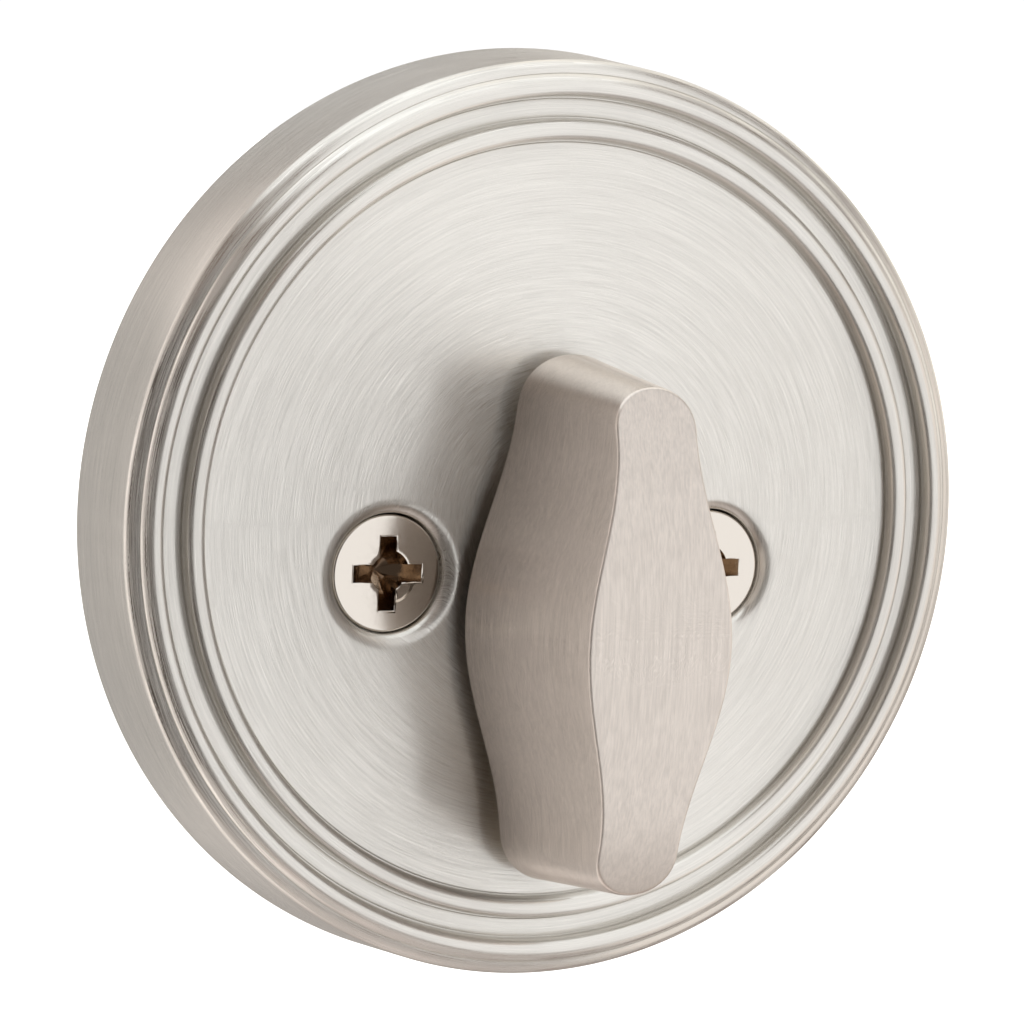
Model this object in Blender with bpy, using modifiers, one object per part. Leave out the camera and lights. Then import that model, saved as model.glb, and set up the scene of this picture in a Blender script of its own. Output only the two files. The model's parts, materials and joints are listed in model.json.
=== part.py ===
"""Interior thumbturn trim of a deadbolt door lock.

The door's surface is the plane Y = 0. The room is on the -Y side and the door on the +Y side. X runs to the
right and Z up, as seen from the room, and the origin is the centre of the rose on the door's surface.

Every height below is measured from the door's surface towards the room, so a height h lies at Y = -h,
and what goes into the door has negative heights. Sizes are in metres.
"""

import math

import bmesh
import bpy
from mathutils import Matrix, Vector

MM = 0.001
GAP = 0.3 * MM  # clearance between two pieces that touch

# Rose: a formed cover with a drafted side wall, a rounded shoulder, two full round beads and a crowned face
ROSE_RADIUS = 33.0 * MM
ROSE_DRAFT = 0.45 * MM
ROSE_WALL = 1.0 * MM
SIDE_HEIGHT = 7.45 * MM
CREASE_INSET = 1.42 * MM
CREASE_HEIGHT = 8.3 * MM
OUTER_BEAD_WIDTH = 1.66 * MM
OUTER_BEAD_CREST = 0.93 * MM  # from the crease in to the crest
BEAD_CREST = 8.97 * MM
BEAD_FULLNESS = 2.8  # 2 makes a bead's section an ellipse, and more makes it squarer
BAND_HEIGHT = 7.88 * MM
BAND_WIDTH = 1.5 * MM
INNER_BEAD_WIDTH = 1.54 * MM
FACE_HEIGHT = 8.3 * MM
FACE_CROWN = 0.3 * MM

# Screws: number 8 flat heads with a cross recess
SCREW_X = 12.6 * MM
SCREW_Z = -3.6 * MM
SCREW_RADIUS = 2.08 * MM
SCREW_LENGTH = 44.45 * MM
HEAD_RADIUS = 4.15 * MM
HEAD_EDGE = 0.25 * MM
HEAD_SINK = 0.6 * MM
HEAD_HALF_ANGLE = math.radians(41)
TIP_CHAMFER = 0.6 * MM
RECESS_SPAN = 5.2 * MM
RECESS_WIDTH = 1.35 * MM
RECESS_DEPTH = 2.1 * MM
RECESS_TAPER = 0.42
DIMPLE_ROUNDING = 1.3 * MM
DIMPLE_WALL = 1.5 * MM
SHANK_CLEARANCE = 0.5 * MM

# Thumbturn: a wavy grip with a crowned front, a round neck and a hub
TURN_Z = -6.7 * MM
GRIP_BACK = 9.8 * MM
GRIP_FRONT = 25.2 * MM
GRIP_CROWN_RADIUS = 52.0 * MM
GRIP_EDGE = 0.25 * MM
# half widths at the waist and near the ends, wave length, half height and end rounding
GRIP_AT_BACK = {"waist": 7.55 * MM, "end": 4.15 * MM, "wave": 16.3 * MM, "half": 18.7 * MM, "round": 4.0 * MM}
GRIP_AT_FRONT = {"waist": 5.5 * MM, "end": 3.1 * MM, "wave": 14.4 * MM, "half": 17.6 * MM, "round": 3.0 * MM}
HUB_RADIUS = 4.5 * MM
NECK_STEP = 1.0 * MM
HUB_TAIL = 2.2 * MM
HUB_FLAT_DEPTH = 0.6 * MM
RING_GROOVE_DEPTH = 0.8 * MM

# Blade and its cross pin
BLADE_RADIUS = 2.4 * MM
BLADE_FLAT = 0.7 * MM
BLADE_INSIDE = 8.4 * MM
BLADE_END = -30.0 * MM
PIN_RADIUS = 0.75 * MM
PIN_FROM_END = 1.1 * MM

# Support plate, bushing and the stack behind it
DIMPLE_BOTTOM = 4.6 * MM
PLATE_THICKNESS = 2.5 * MM
RIM_WIDTH = 2.4 * MM
BUSHING_WALL = 1.0 * MM
FLANGE_TO_DIMPLE = 1.7 * MM
FLANGE_THICKNESS = 1.0 * MM
THRUST_THICKNESS = 0.6 * MM
THRUST_TO_LUG = 0.5 * MM
WAVE_THICKNESS = 0.35 * MM
WAVE_AMPLITUDE = 0.3 * MM
WAVE_INSET = 0.3 * MM
CAM_THICKNESS = 1.8 * MM
CAM_WALL = 0.7 * MM
CAM_CORNER_RISE = 1.5 * MM
TAB_HALF_WIDTH = 1.7 * MM
TAB_TO_SCREW = 0.5 * MM
TAB_OVER_LUG = 1.1 * MM
LUG_RADIUS = 1.2 * MM
TURN_LIMIT = math.radians(90)
RING_THICKNESS = 0.6 * MM
RING_WIDTH = 2.0 * MM
RING_MOUTH = math.radians(38)
FACE_WASHER_WIDTH = 0.9 * MM
RETAINER_WIDTH = 1.8 * MM
RETAINER_THICKNESS = 0.8 * MM

# Detent spring and its posts
SPRING_THICKNESS = 0.4 * MM
SPRING_HALF_SPAN = 10.2 * MM
POST_RADIUS = 1.2 * MM
POST_DEPTH = 1.5 * MM

# Anchor plate behind the bolt case, and its nuts
ANCHOR_FRONT = -33.0 * MM
ANCHOR_THICKNESS = 1.5 * MM
ANCHOR_HALF_LENGTH = 17.0 * MM
ANCHOR_HALF_HEIGHT = 7.0 * MM
ANCHOR_WINDOW = 4.0 * MM
NUT_WALL = 1.5 * MM
NUT_PILOT_WALL = 0.62 * MM
NUT_HEIGHT = 2.5 * MM

# Places that follow from the sizes above
HEAD_HEIGHT = FACE_HEIGHT - HEAD_SINK
HEAD_CONE = (HEAD_RADIUS - SCREW_RADIUS) / math.tan(HEAD_HALF_ANGLE)
SCREW_END = HEAD_HEIGHT - SCREW_LENGTH
PLATE_FRONT = DIMPLE_BOTTOM - GAP
PLATE_BACK = PLATE_FRONT - PLATE_THICKNESS
FLANGE_TOP = PLATE_FRONT + GAP + FLANGE_THICKNESS
NECK_END = FLANGE_TOP + GAP
THRUST_TOP = PLATE_BACK - GAP
WAVE_MIDDLE = THRUST_TOP - THRUST_THICKNESS - GAP - WAVE_AMPLITUDE - WAVE_THICKNESS / 2
CAM_TOP = WAVE_MIDDLE - WAVE_AMPLITUDE - WAVE_THICKNESS / 2 - GAP
CAM_BACK = CAM_TOP - CAM_THICKNESS
GROOVE_BACK = CAM_BACK - RING_THICKNESS - 2 * GAP
HUB_END = GROOVE_BACK - HUB_TAIL
PIN_HEIGHT = HUB_END + PIN_FROM_END
NECK_RADIUS = HUB_RADIUS + NECK_STEP
HUB_FLAT = HUB_RADIUS - HUB_FLAT_DEPTH
RING_RADIUS = HUB_RADIUS + RING_WIDTH
BUSHING_BORE = HUB_RADIUS + GAP
BUSHING_RADIUS = BUSHING_BORE + BUSHING_WALL
PLATE_BORE = BUSHING_RADIUS + GAP
SCREW_HOLE = SCREW_RADIUS + SHANK_CLEARANCE
CAM_FLAT = BUSHING_BORE + CAM_WALL
CAM_CORNER = CAM_FLAT + CAM_CORNER_RISE
SCREW_DISTANCE = math.hypot(SCREW_X, SCREW_Z - TURN_Z)
FLANGE_RADIUS = SCREW_DISTANCE - SCREW_HOLE - DIMPLE_WALL - FLANGE_TO_DIMPLE
TAB_REACH = SCREW_DISTANCE - SCREW_RADIUS - TAB_TO_SCREW
LUG_RING = TAB_REACH - TAB_OVER_LUG
THRUST_RADIUS = LUG_RING - LUG_RADIUS - THRUST_TO_LUG
LUG_ANGLE = TURN_LIMIT + math.asin((TAB_HALF_WIDTH + LUG_RADIUS + GAP) / LUG_RING)
LUG_END = CAM_BACK
SPRING_TOP = TURN_Z - CAM_FLAT - GAP
POST_Z = SPRING_TOP - SPRING_THICKNESS - GAP - POST_RADIUS
SCREW_SIDES = (("left", -1), ("right", 1))

parts = None
cutters = None


def clear_scene():
    """Removes every object and starts the two collections."""
    global parts, cutters
    for obj in list(bpy.data.objects):
        bpy.data.objects.remove(obj, do_unlink=True)
    parts = bpy.data.collections.new("deadbolt_thumbturn_trim")
    cutters = bpy.data.collections.new("cutters")
    for group in (parts, cutters):
        bpy.context.scene.collection.children.link(group)


def material(name, colour, roughness, metallic=1.0):
    """A Principled material of one colour."""
    made = bpy.data.materials.new(name)
    made.use_nodes = True
    shader = made.node_tree.nodes["Principled BSDF"]
    shader.inputs["Base Color"].default_value = (*colour, 1.0)
    shader.inputs["Roughness"].default_value = roughness
    shader.inputs["Metallic"].default_value = metallic
    return made


def add_object(name, data, finish=None):
    """Puts the data into the scene: a part when it has a finish, or a hidden cutter."""
    obj = bpy.data.objects.new(name, data)
    if finish:
        data.materials.append(finish)
        parts.objects.link(obj)
    else:
        obj.hide_render = True
        obj.display_type = "WIRE"
        cutters.objects.link(obj)
    return obj


def place(obj, x=0.0, z=0.0):
    """Stands the object's own Z axis along the height, at a point of the door's surface."""
    obj.location = (x, 0.0, z)
    obj.rotation_euler = (math.radians(90), 0.0, 0.0)
    return obj


def turned(name, profile, finish=None, x=0.0, z=0.0, steps=40, closed=False):
    """Turns (radius, height) points, which run down the outer side, about an axis square to the door."""
    mesh = bpy.data.meshes.new(name)
    edges = [(i, i + 1) for i in range(len(profile) - 1)]
    if closed:
        edges.append((len(profile) - 1, 0))
    mesh.from_pydata([(radius, 0.0, height) for radius, height in profile], edges, [])
    obj = place(add_object(name, mesh, finish), x, z)
    screw = obj.modifiers.new("turn", "SCREW")
    screw.steps = steps
    screw.render_steps = steps
    screw.use_merge_vertices = True
    screw.merge_threshold = 0.000001
    return obj


def ring(name, inner, outer, top, bottom, finish, x=0.0, z=0.0, steps=40):
    """A washer or sleeve between two heights."""
    profile = [(outer, top), (outer, bottom), (inner, bottom), (inner, top)]
    return turned(name, profile, finish, x, z, steps, closed=True)


def rod(name, radius, top, bottom, finish=None, x=0.0, z=0.0, steps=32):
    """A round bar between two heights."""
    profile = [(0.0, top), (radius, top), (radius, bottom), (0.0, bottom)]
    return turned(name, profile, finish, x, z, steps)


def block(name, size, centre, finish=None):
    """A box of the given size along X, Y and Z."""
    mesh = bpy.data.meshes.new(name)
    shape = bmesh.new()
    bmesh.ops.create_cube(shape, size=1.0, matrix=Matrix.Diagonal((*size, 1.0)))
    shape.to_mesh(mesh)
    shape.free()
    obj = add_object(name, mesh, finish)
    obj.location = centre
    return obj


def combine(obj, other, operation):
    """Adds a Boolean modifier of the exact kind."""
    modifier = obj.modifiers.new(operation.lower() + "_" + other.name, "BOOLEAN")
    modifier.operation = operation
    modifier.object = other
    modifier.solver = "EXACT"
    return obj


def arc(centre_x, centre_y, radius, start, end, count):
    """Points along an arc, with both ends."""
    angles = [start + (end - start) * i / count for i in range(count + 1)]
    return [(centre_x + radius * math.cos(a), centre_y + radius * math.sin(a)) for a in angles]


def flat_plate(name, outlines, top, bottom, finish):
    """Closed (x, z) outlines, holes among them, given a thickness between two heights."""
    data = bpy.data.curves.new(name, "CURVE")
    data.dimensions = "2D"
    data.fill_mode = "BOTH"
    data.extrude = (top - bottom) / 2
    for outline in outlines:
        spline = data.splines.new("POLY")
        spline.points.add(len(outline) - 1)
        for point, (x, z) in zip(spline.points, outline):
            point.co = (x, z, 0.0, 1.0)
        spline.use_cyclic_u = True
    obj = place(add_object(name, data, finish))
    obj.location.y = -(top + bottom) / 2
    return obj


def shoulder(start, end, first, last, count):
    """(radius, height) points from start to end: a circle's arc between two angles, stretched to reach both."""
    points = []
    for i in range(count + 1):
        angle = math.radians(first + (last - first) * i / count)
        out = math.sin(angle) - math.sin(math.radians(first))
        out /= math.sin(math.radians(last)) - math.sin(math.radians(first))
        down = math.cos(angle) - math.cos(math.radians(first))
        down /= math.cos(math.radians(last)) - math.cos(math.radians(first))
        points.append((start[0] + (end[0] - start[0]) * out, start[1] + (end[1] - start[1]) * down))
    return points


def flank(crest, foot, count):
    """(radius, height) points of a bead's full round side, from its crest to its foot: a superellipse quarter."""
    points = []
    for i in range(count + 1):
        angle = math.pi / 2 * i / count
        across = math.sin(angle) ** (2 / BEAD_FULLNESS)
        up = math.cos(angle) ** (2 / BEAD_FULLNESS)
        points.append((crest[0] + (foot[0] - crest[0]) * across, foot[1] + (crest[1] - foot[1]) * up))
    return points


def face_edge():
    """(radius, height) of the face's edge, at the foot of the inner bead."""
    radius = ROSE_RADIUS - CREASE_INSET - OUTER_BEAD_WIDTH - BAND_WIDTH - INNER_BEAD_WIDTH
    return radius, FACE_HEIGHT - FACE_CROWN


def rose_outline(count):
    """(radius, height) points of the rose's outside, from the middle of its face out and down to the door."""
    side_top = (ROSE_RADIUS - ROSE_DRAFT, SIDE_HEIGHT)
    crease = (ROSE_RADIUS - CREASE_INSET, CREASE_HEIGHT)
    outer_crest = (crease[0] - OUTER_BEAD_CREST, BEAD_CREST)
    band_outside = (crease[0] - OUTER_BEAD_WIDTH, BAND_HEIGHT)
    band_inside = (band_outside[0] - BAND_WIDTH, BAND_HEIGHT)
    inner_crest = (band_inside[0] - INNER_BEAD_WIDTH / 2, BEAD_CREST)
    edge = face_edge()
    outline = []
    for share in (0.0, 0.4, 0.6, 0.8):
        outline.append((edge[0] * share, FACE_HEIGHT - FACE_CROWN * share**2))
    outline += flank(inner_crest, edge, count)[::-1]
    outline += flank(inner_crest, band_inside, count)[1:]
    outline += flank(outer_crest, band_outside, count)[::-1]
    outline += shoulder(outer_crest, crease, 0, 30, 2)[1:]
    outline += shoulder(crease, side_top, 35, 85, 3)[1:]
    outline.append((ROSE_RADIUS, 0.0))
    return outline


def rose_lining():
    """(radius, height) points of the rose's inside, from its rim in to the middle of its face."""
    side = ROSE_RADIUS - ROSE_WALL
    under_band = BAND_HEIGHT - ROSE_WALL
    under_face = FACE_HEIGHT - ROSE_WALL
    foot = face_edge()[0]
    return [
        (side, 0.0),
        (side - ROSE_DRAFT, under_band),
        (foot, under_band),
        (foot - (under_face - under_band), under_face),
        (0.0, under_face),
    ]


def dimple_outline():
    """(radius, height) points of a dimple's hollow: rounded lip, cone of the screw's head and its hole."""
    seat = HEAD_RADIUS + GAP
    middle = (seat + DIMPLE_ROUNDING, FACE_HEIGHT - DIMPLE_ROUNDING)
    lip = arc(*middle, DIMPLE_ROUNDING, math.pi / 2, 0.8 * math.pi, 4)
    shift = lip[-1][0] - seat
    lip = [(radius - shift, height) for radius, height in lip]
    slope = math.tan(HEAD_HALF_ANGLE)
    cone_top = HEAD_HEIGHT - HEAD_EDGE - (GAP / math.cos(HEAD_HALF_ANGLE) - GAP) / slope
    cone_end = cone_top - (seat - SCREW_HOLE) / slope
    top = FACE_HEIGHT + DIMPLE_ROUNDING
    above = [(0.0, top), (lip[0][0] + 8 * GAP, top)]
    return above + lip + [(seat, cone_top), (SCREW_HOLE, cone_end), (SCREW_HOLE, 0.0), (0.0, 0.0)]


def make_rose(finish):
    """Formed cover, with a dimple round each screw and a hole for the thumbturn's neck."""
    rose = turned("rose", rose_outline(5) + rose_lining(), finish, steps=72)
    hollow = dimple_outline()
    boss_top = FACE_HEIGHT - ROSE_WALL / 2
    wide = HEAD_RADIUS + DIMPLE_WALL + ROSE_WALL
    narrow = SCREW_HOLE + DIMPLE_WALL
    boss = [(0.0, boss_top), (wide, boss_top), (wide, boss_top - ROSE_WALL)]
    boss += [(narrow, DIMPLE_BOTTOM), (0.0, DIMPLE_BOTTOM)]
    for side, sign in SCREW_SIDES:
        lining = turned("dimple_boss_" + side, boss, x=sign * SCREW_X, z=SCREW_Z, steps=32)
        combine(rose, lining, "UNION")
    for side, sign in SCREW_SIDES:
        cutter = turned("dimple_hollow_" + side, hollow, x=sign * SCREW_X, z=SCREW_Z, steps=32)
        combine(rose, cutter, "DIFFERENCE")
    hole = rod("neck_hole", NECK_RADIUS + GAP, FACE_HEIGHT + ROSE_WALL, PLATE_BACK, z=TURN_Z, steps=40)
    return combine(rose, hole, "DIFFERENCE")


def grip_sizes(share):
    """The grip's outline sizes between its back (0) and its front (1)."""
    return {key: back + (GRIP_AT_FRONT[key] - back) * share for key, back in GRIP_AT_BACK.items()}


def grip_half_width(z, sizes):
    """Half width at a height along the grip: a cosine wave from waist to end, and a rounded end."""
    swell = (1 + math.cos(math.pi * min(abs(z) / sizes["wave"], 1.0))) / 2
    width = sizes["end"] + (sizes["waist"] - sizes["end"]) * swell
    into_end = (abs(z) - sizes["half"] + sizes["round"]) / sizes["round"]
    return width * math.sqrt(max(0.0, 1 - max(0.0, into_end) ** 2.3))


def grip_layer(share, inset, rows):
    """One layer of the grip: (z, half width, height) for rows from its bottom tip to its top tip."""
    sizes = grip_sizes(share)
    layer = []
    for i in range(rows + 1):
        along = math.sin(math.pi * (i / rows - 0.5))
        z = sizes["half"] * along
        front = GRIP_FRONT - z * z / (2 * GRIP_CROWN_RADIUS)
        width = max(0.0, grip_half_width(z, sizes) - inset)
        height = GRIP_BACK + (front - GRIP_BACK) * share
        layer.append((z - inset * along, width if 0 < i < rows else 0.0, height))
    return layer


def make_grip(finish, rows=32):
    """Loft of like layers from the grip's back to its crowned front, with a small bevel at both edges."""
    depth = GRIP_FRONT - GRIP_BACK
    edge = GRIP_EDGE / depth
    stations = [(0.0, GRIP_EDGE), (edge, 0.0), (0.25, 0.0), (0.5, 0.0)]
    stations += [(0.75, 0.0), (1 - edge, 0.0), (1.0, GRIP_EDGE)]
    shape = bmesh.new()
    loops = []
    for share, inset in stations:
        layer = grip_layer(share, inset, rows)
        right = [shape.verts.new((width, z, height)) for z, width, height in layer]
        left = [shape.verts.new((-width, z, height)) for z, width, height in layer[-2:0:-1]]
        loops.append(right + left)
    around = len(loops[0])
    for lower, upper in zip(loops, loops[1:]):
        for i in range(around):
            j = (i + 1) % around
            shape.faces.new((lower[i], lower[j], upper[j], upper[i]))
    for loop, flip in ((loops[0], True), (loops[-1], False)):
        for i in range(rows):
            corners = [loop[i], loop[i + 1], loop[(around - i - 1) % around], loop[(around - i) % around]]
            corners = list(dict.fromkeys(corners))
            shape.faces.new(corners[::-1] if flip else corners)
    bmesh.ops.recalc_face_normals(shape, faces=shape.faces)
    mesh = bpy.data.meshes.new("thumbturn")
    shape.to_mesh(mesh)
    shape.free()
    return place(add_object("thumbturn", mesh, finish), z=TURN_Z)


def hub_outline():
    """(radius, height) points of the neck and hub, from inside the grip down to the hub's end."""
    groove = HUB_RADIUS - RING_GROOVE_DEPTH
    return [
        (0.0, GRIP_BACK + 2 * MM),
        (NECK_RADIUS, GRIP_BACK + 2 * MM),
        (NECK_RADIUS, NECK_END),
        (HUB_RADIUS, NECK_END),
        (HUB_RADIUS, CAM_BACK),
        (groove, CAM_BACK),
        (groove, GROOVE_BACK),
        (HUB_RADIUS, GROOVE_BACK),
        (HUB_RADIUS, HUB_END),
        (0.0, HUB_END),
    ]


def cross_hole(name):
    """Cutter for the blade's pin, along X."""
    hole = rod(name, PIN_RADIUS + GAP, HUB_RADIUS * 2, -HUB_RADIUS * 2, steps=20)
    hole.rotation_euler = (0.0, math.radians(90), 0.0)
    hole.location = (0.0, -PIN_HEIGHT, TURN_Z)
    return hole


def flat_cutters(name, distance, top, bottom):
    """Two blocks that leave a flat on each side of the hub, at a distance from its axis."""
    deep = HUB_RADIUS
    size = (deep, top - bottom, 4 * HUB_RADIUS)
    middle = -(top + bottom) / 2
    return [
        block(f"{name}_{side}", size, (sign * (distance + deep / 2), middle, TURN_Z))
        for side, sign in SCREW_SIDES
    ]


def make_thumbturn(finish):
    """Grip, neck and hub in one casting, with a socket for the blade, a pin hole and two key flats."""
    turn = make_grip(finish)
    combine(turn, turned("hub_stem", hub_outline(), z=TURN_Z, steps=40), "UNION")
    socket_end = HUB_END + BLADE_INSIDE + 2 * GAP
    socket = rod("blade_socket", BLADE_RADIUS + GAP, socket_end, HUB_END - MM, z=TURN_Z)
    combine(turn, socket, "DIFFERENCE")
    for cutter in flat_cutters("hub_flat", HUB_FLAT, CAM_TOP + GAP, HUB_END - MM):
        combine(turn, cutter, "DIFFERENCE")
    combine(turn, cross_hole("hub_pin_hole"), "DIFFERENCE")


def make_blade(finish):
    """D-section tail: a round bar with a flat, cross-drilled for its pin."""
    top = HUB_END + BLADE_INSIDE
    blade = rod("torque_blade", BLADE_RADIUS, top, BLADE_END, finish, z=TURN_Z)
    away = (BLADE_FLAT + BLADE_RADIUS, -(top + BLADE_END) / 2, TURN_Z)
    size = (2 * BLADE_RADIUS, top - BLADE_END + MM, 4 * BLADE_RADIUS)
    combine(blade, block("blade_flat", size, away), "DIFFERENCE")
    combine(blade, cross_hole("blade_pin_hole"), "DIFFERENCE")


def make_pin(finish):
    """Cross pin of the blade, along X."""
    half = HUB_FLAT
    pin = rod("blade_pin", PIN_RADIUS, half, -half, finish, steps=20)
    pin.rotation_euler = (0.0, math.radians(90), 0.0)
    pin.location = (0.0, -PIN_HEIGHT, TURN_Z)


def recess_cutter(name, x, length_x, length_z):
    """Tapered wedge that cuts one arm of a cross recess."""
    shape = bmesh.new()
    bmesh.ops.create_cube(shape, size=1.0)
    for vert in shape.verts:
        deep = vert.co.z < 0
        shrink = RECESS_TAPER if deep else 1.0
        wide = 2 * vert.co.x * (length_x / 2) * (shrink if length_x > length_z else 1.0)
        tall = 2 * vert.co.y * (length_z / 2) * (shrink if length_z > length_x else 1.0)
        height = HEAD_HEIGHT - RECESS_DEPTH if deep else HEAD_HEIGHT + GAP
        vert.co = Vector((wide, tall, height))
    mesh = bpy.data.meshes.new(name)
    shape.to_mesh(mesh)
    shape.free()
    return place(add_object(name, mesh), x, SCREW_Z)


def make_screw(side, sign, finish):
    """Flat-head screw with a cross recess. Its thread is left to its outer size."""
    profile = [
        (0.0, HEAD_HEIGHT),
        (HEAD_RADIUS, HEAD_HEIGHT),
        (HEAD_RADIUS, HEAD_HEIGHT - HEAD_EDGE),
        (SCREW_RADIUS, HEAD_HEIGHT - HEAD_EDGE - HEAD_CONE),
        (SCREW_RADIUS, SCREW_END + TIP_CHAMFER),
        (SCREW_RADIUS - TIP_CHAMFER, SCREW_END),
        (0.0, SCREW_END),
    ]
    x = sign * SCREW_X
    screw = turned("screw_" + side, profile, finish, x, SCREW_Z, steps=32)
    combine(screw, recess_cutter("recess_across_" + side, x, RECESS_SPAN, RECESS_WIDTH), "DIFFERENCE")
    combine(screw, recess_cutter("recess_down_" + side, x, RECESS_WIDTH, RECESS_SPAN), "DIFFERENCE")


def make_screw_retainer(side, sign, finish):
    """Captive washer on the screw, behind the support plate."""
    inner = SCREW_RADIUS + GAP
    top = PLATE_BACK - GAP
    bottom = top - RETAINER_THICKNESS
    outer = inner + RETAINER_WIDTH
    ring("screw_retainer_" + side, inner, outer, top, bottom, finish, sign * SCREW_X, SCREW_Z)


def make_spring_post(side, sign, finish):
    """Pin in the support plate that a hook of the detent spring goes round."""
    top = PLATE_BACK + POST_DEPTH
    bottom = CAM_BACK - GAP
    x = sign * SPRING_HALF_SPAN
    rod("spring_post_" + side, POST_RADIUS, top, bottom, finish, x, POST_Z, steps=20)


def make_support_plate(finish):
    """Cast disc with a rim on the door, the bushing's bore, screw holes, stop lugs and post holes."""
    radius = ROSE_RADIUS - ROSE_DRAFT - ROSE_WALL - GAP
    inner = radius - RIM_WIDTH
    profile = [
        (0.0, PLATE_FRONT),
        (radius, PLATE_FRONT),
        (radius, GAP),
        (inner, GAP),
        (inner, PLATE_BACK),
        (0.0, PLATE_BACK),
    ]
    plate = turned("support_plate", profile, finish, steps=64)
    for side, sign in SCREW_SIDES:
        x = sign * LUG_RING * math.sin(LUG_ANGLE)
        z = TURN_Z + LUG_RING * math.cos(LUG_ANGLE)
        lug = rod("stop_lug_" + side, LUG_RADIUS, PLATE_FRONT - MM, LUG_END, x=x, z=z, steps=20)
        combine(plate, lug, "UNION")
    bore = rod("bushing_bore", PLATE_BORE, PLATE_FRONT + MM, PLATE_BACK - MM, z=TURN_Z)
    combine(plate, bore, "DIFFERENCE")
    above = PLATE_FRONT + MM
    below = PLATE_BACK - MM
    seat_end = PLATE_BACK + POST_DEPTH + GAP
    for side, sign in SCREW_SIDES:
        x = sign * SCREW_X
        hole = rod("plate_screw_hole_" + side, SCREW_HOLE, above, below, x=x, z=SCREW_Z)
        combine(plate, hole, "DIFFERENCE")
        x = sign * SPRING_HALF_SPAN
        seat = rod("post_seat_" + side, POST_RADIUS + GAP, seat_end, below, x=x, z=POST_Z, steps=20)
        combine(plate, seat, "DIFFERENCE")


def make_bushing(finish):
    """Flanged bearing in the plate's bore."""
    profile = [
        (FLANGE_RADIUS, FLANGE_TOP),
        (FLANGE_RADIUS, PLATE_FRONT + GAP),
        (BUSHING_RADIUS, PLATE_FRONT + GAP),
        (BUSHING_RADIUS, PLATE_BACK),
        (BUSHING_BORE, PLATE_BACK),
        (BUSHING_BORE, FLANGE_TOP),
    ]
    turned("turn_bushing", profile, finish, z=TURN_Z, closed=True)


def make_wave_washer(finish, steps=48):
    """Annulus that waves three times round, given its thickness by Solidify."""
    inner = HUB_RADIUS + GAP
    verts = []
    for radius in (inner, THRUST_RADIUS - WAVE_INSET):
        for i in range(steps):
            angle = 2 * math.pi * i / steps
            height = WAVE_MIDDLE + WAVE_AMPLITUDE * math.cos(3 * angle)
            verts.append((radius * math.cos(angle), radius * math.sin(angle), height))
    faces = [(i, steps + i, steps + (i + 1) % steps, (i + 1) % steps) for i in range(steps)]
    mesh = bpy.data.meshes.new("wave_washer")
    mesh.from_pydata(verts, [], faces)
    washer = place(add_object("wave_washer", mesh, finish), z=TURN_Z)
    solid = washer.modifiers.new("thickness", "SOLIDIFY")
    solid.thickness = WAVE_THICKNESS
    solid.offset = 0.0


def make_cam(finish):
    """Square detent cam with rounded corners and a stop tab, keyed on the hub's flats."""
    middle = -(CAM_TOP + CAM_BACK) / 2
    thick = CAM_THICKNESS
    cam = rod("turn_cam", CAM_CORNER, CAM_TOP, CAM_BACK, finish, z=TURN_Z, steps=48)
    square = block("cam_square", (2 * CAM_FLAT, 2 * thick, 2 * CAM_FLAT), (0.0, middle, TURN_Z))
    combine(cam, square, "INTERSECT")
    tab_size = (2 * TAB_HALF_WIDTH, thick, TAB_REACH - BUSHING_BORE)
    tab_z = TURN_Z + (TAB_REACH + BUSHING_BORE) / 2
    combine(cam, block("cam_tab", tab_size, (0.0, middle, tab_z)), "UNION")
    bore = rod("cam_bore", HUB_RADIUS + GAP, CAM_TOP + MM, CAM_BACK - MM, z=TURN_Z)
    for cutter in flat_cutters("bore_flat", HUB_FLAT + GAP, CAM_TOP + 2 * MM, CAM_BACK - 2 * MM):
        combine(bore, cutter, "DIFFERENCE")
    combine(cam, bore, "DIFFERENCE")


def make_retaining_ring(finish):
    """Open ring that snaps into the hub's groove from above."""
    inner = HUB_RADIUS - RING_GROOVE_DEPTH + GAP
    start = math.pi / 2 + RING_MOUTH
    end = 5 * math.pi / 2 - RING_MOUTH
    outline = arc(0.0, TURN_Z, RING_RADIUS, start, end, 36) + arc(0.0, TURN_Z, inner, end, start, 36)
    top = CAM_BACK - GAP
    flat_plate("retaining_ring", [outline], top, top - RING_THICKNESS, finish)


def make_detent_spring(finish):
    """Leaf under the cam, hooked round a post at each end: an open ribbon given its thickness by Solidify."""
    hook = POST_RADIUS + GAP + SPRING_THICKNESS / 2
    left = arc(-SPRING_HALF_SPAN, POST_Z, hook, 3 * math.pi / 2, math.pi / 2, 10)
    right = arc(SPRING_HALF_SPAN, POST_Z, hook, math.pi / 2, -math.pi / 2, 10)
    path = left + right
    verts = [(x, z, height) for height in (CAM_TOP, CAM_BACK) for x, z in path]
    count = len(path)
    faces = [(i, i + 1, count + i + 1, count + i) for i in range(count - 1)]
    mesh = bpy.data.meshes.new("detent_spring")
    mesh.from_pydata(verts, [], faces)
    spring = place(add_object("detent_spring", mesh, finish))
    solid = spring.modifiers.new("thickness", "SOLIDIFY")
    solid.thickness = SPRING_THICKNESS
    solid.offset = 0.0


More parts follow.
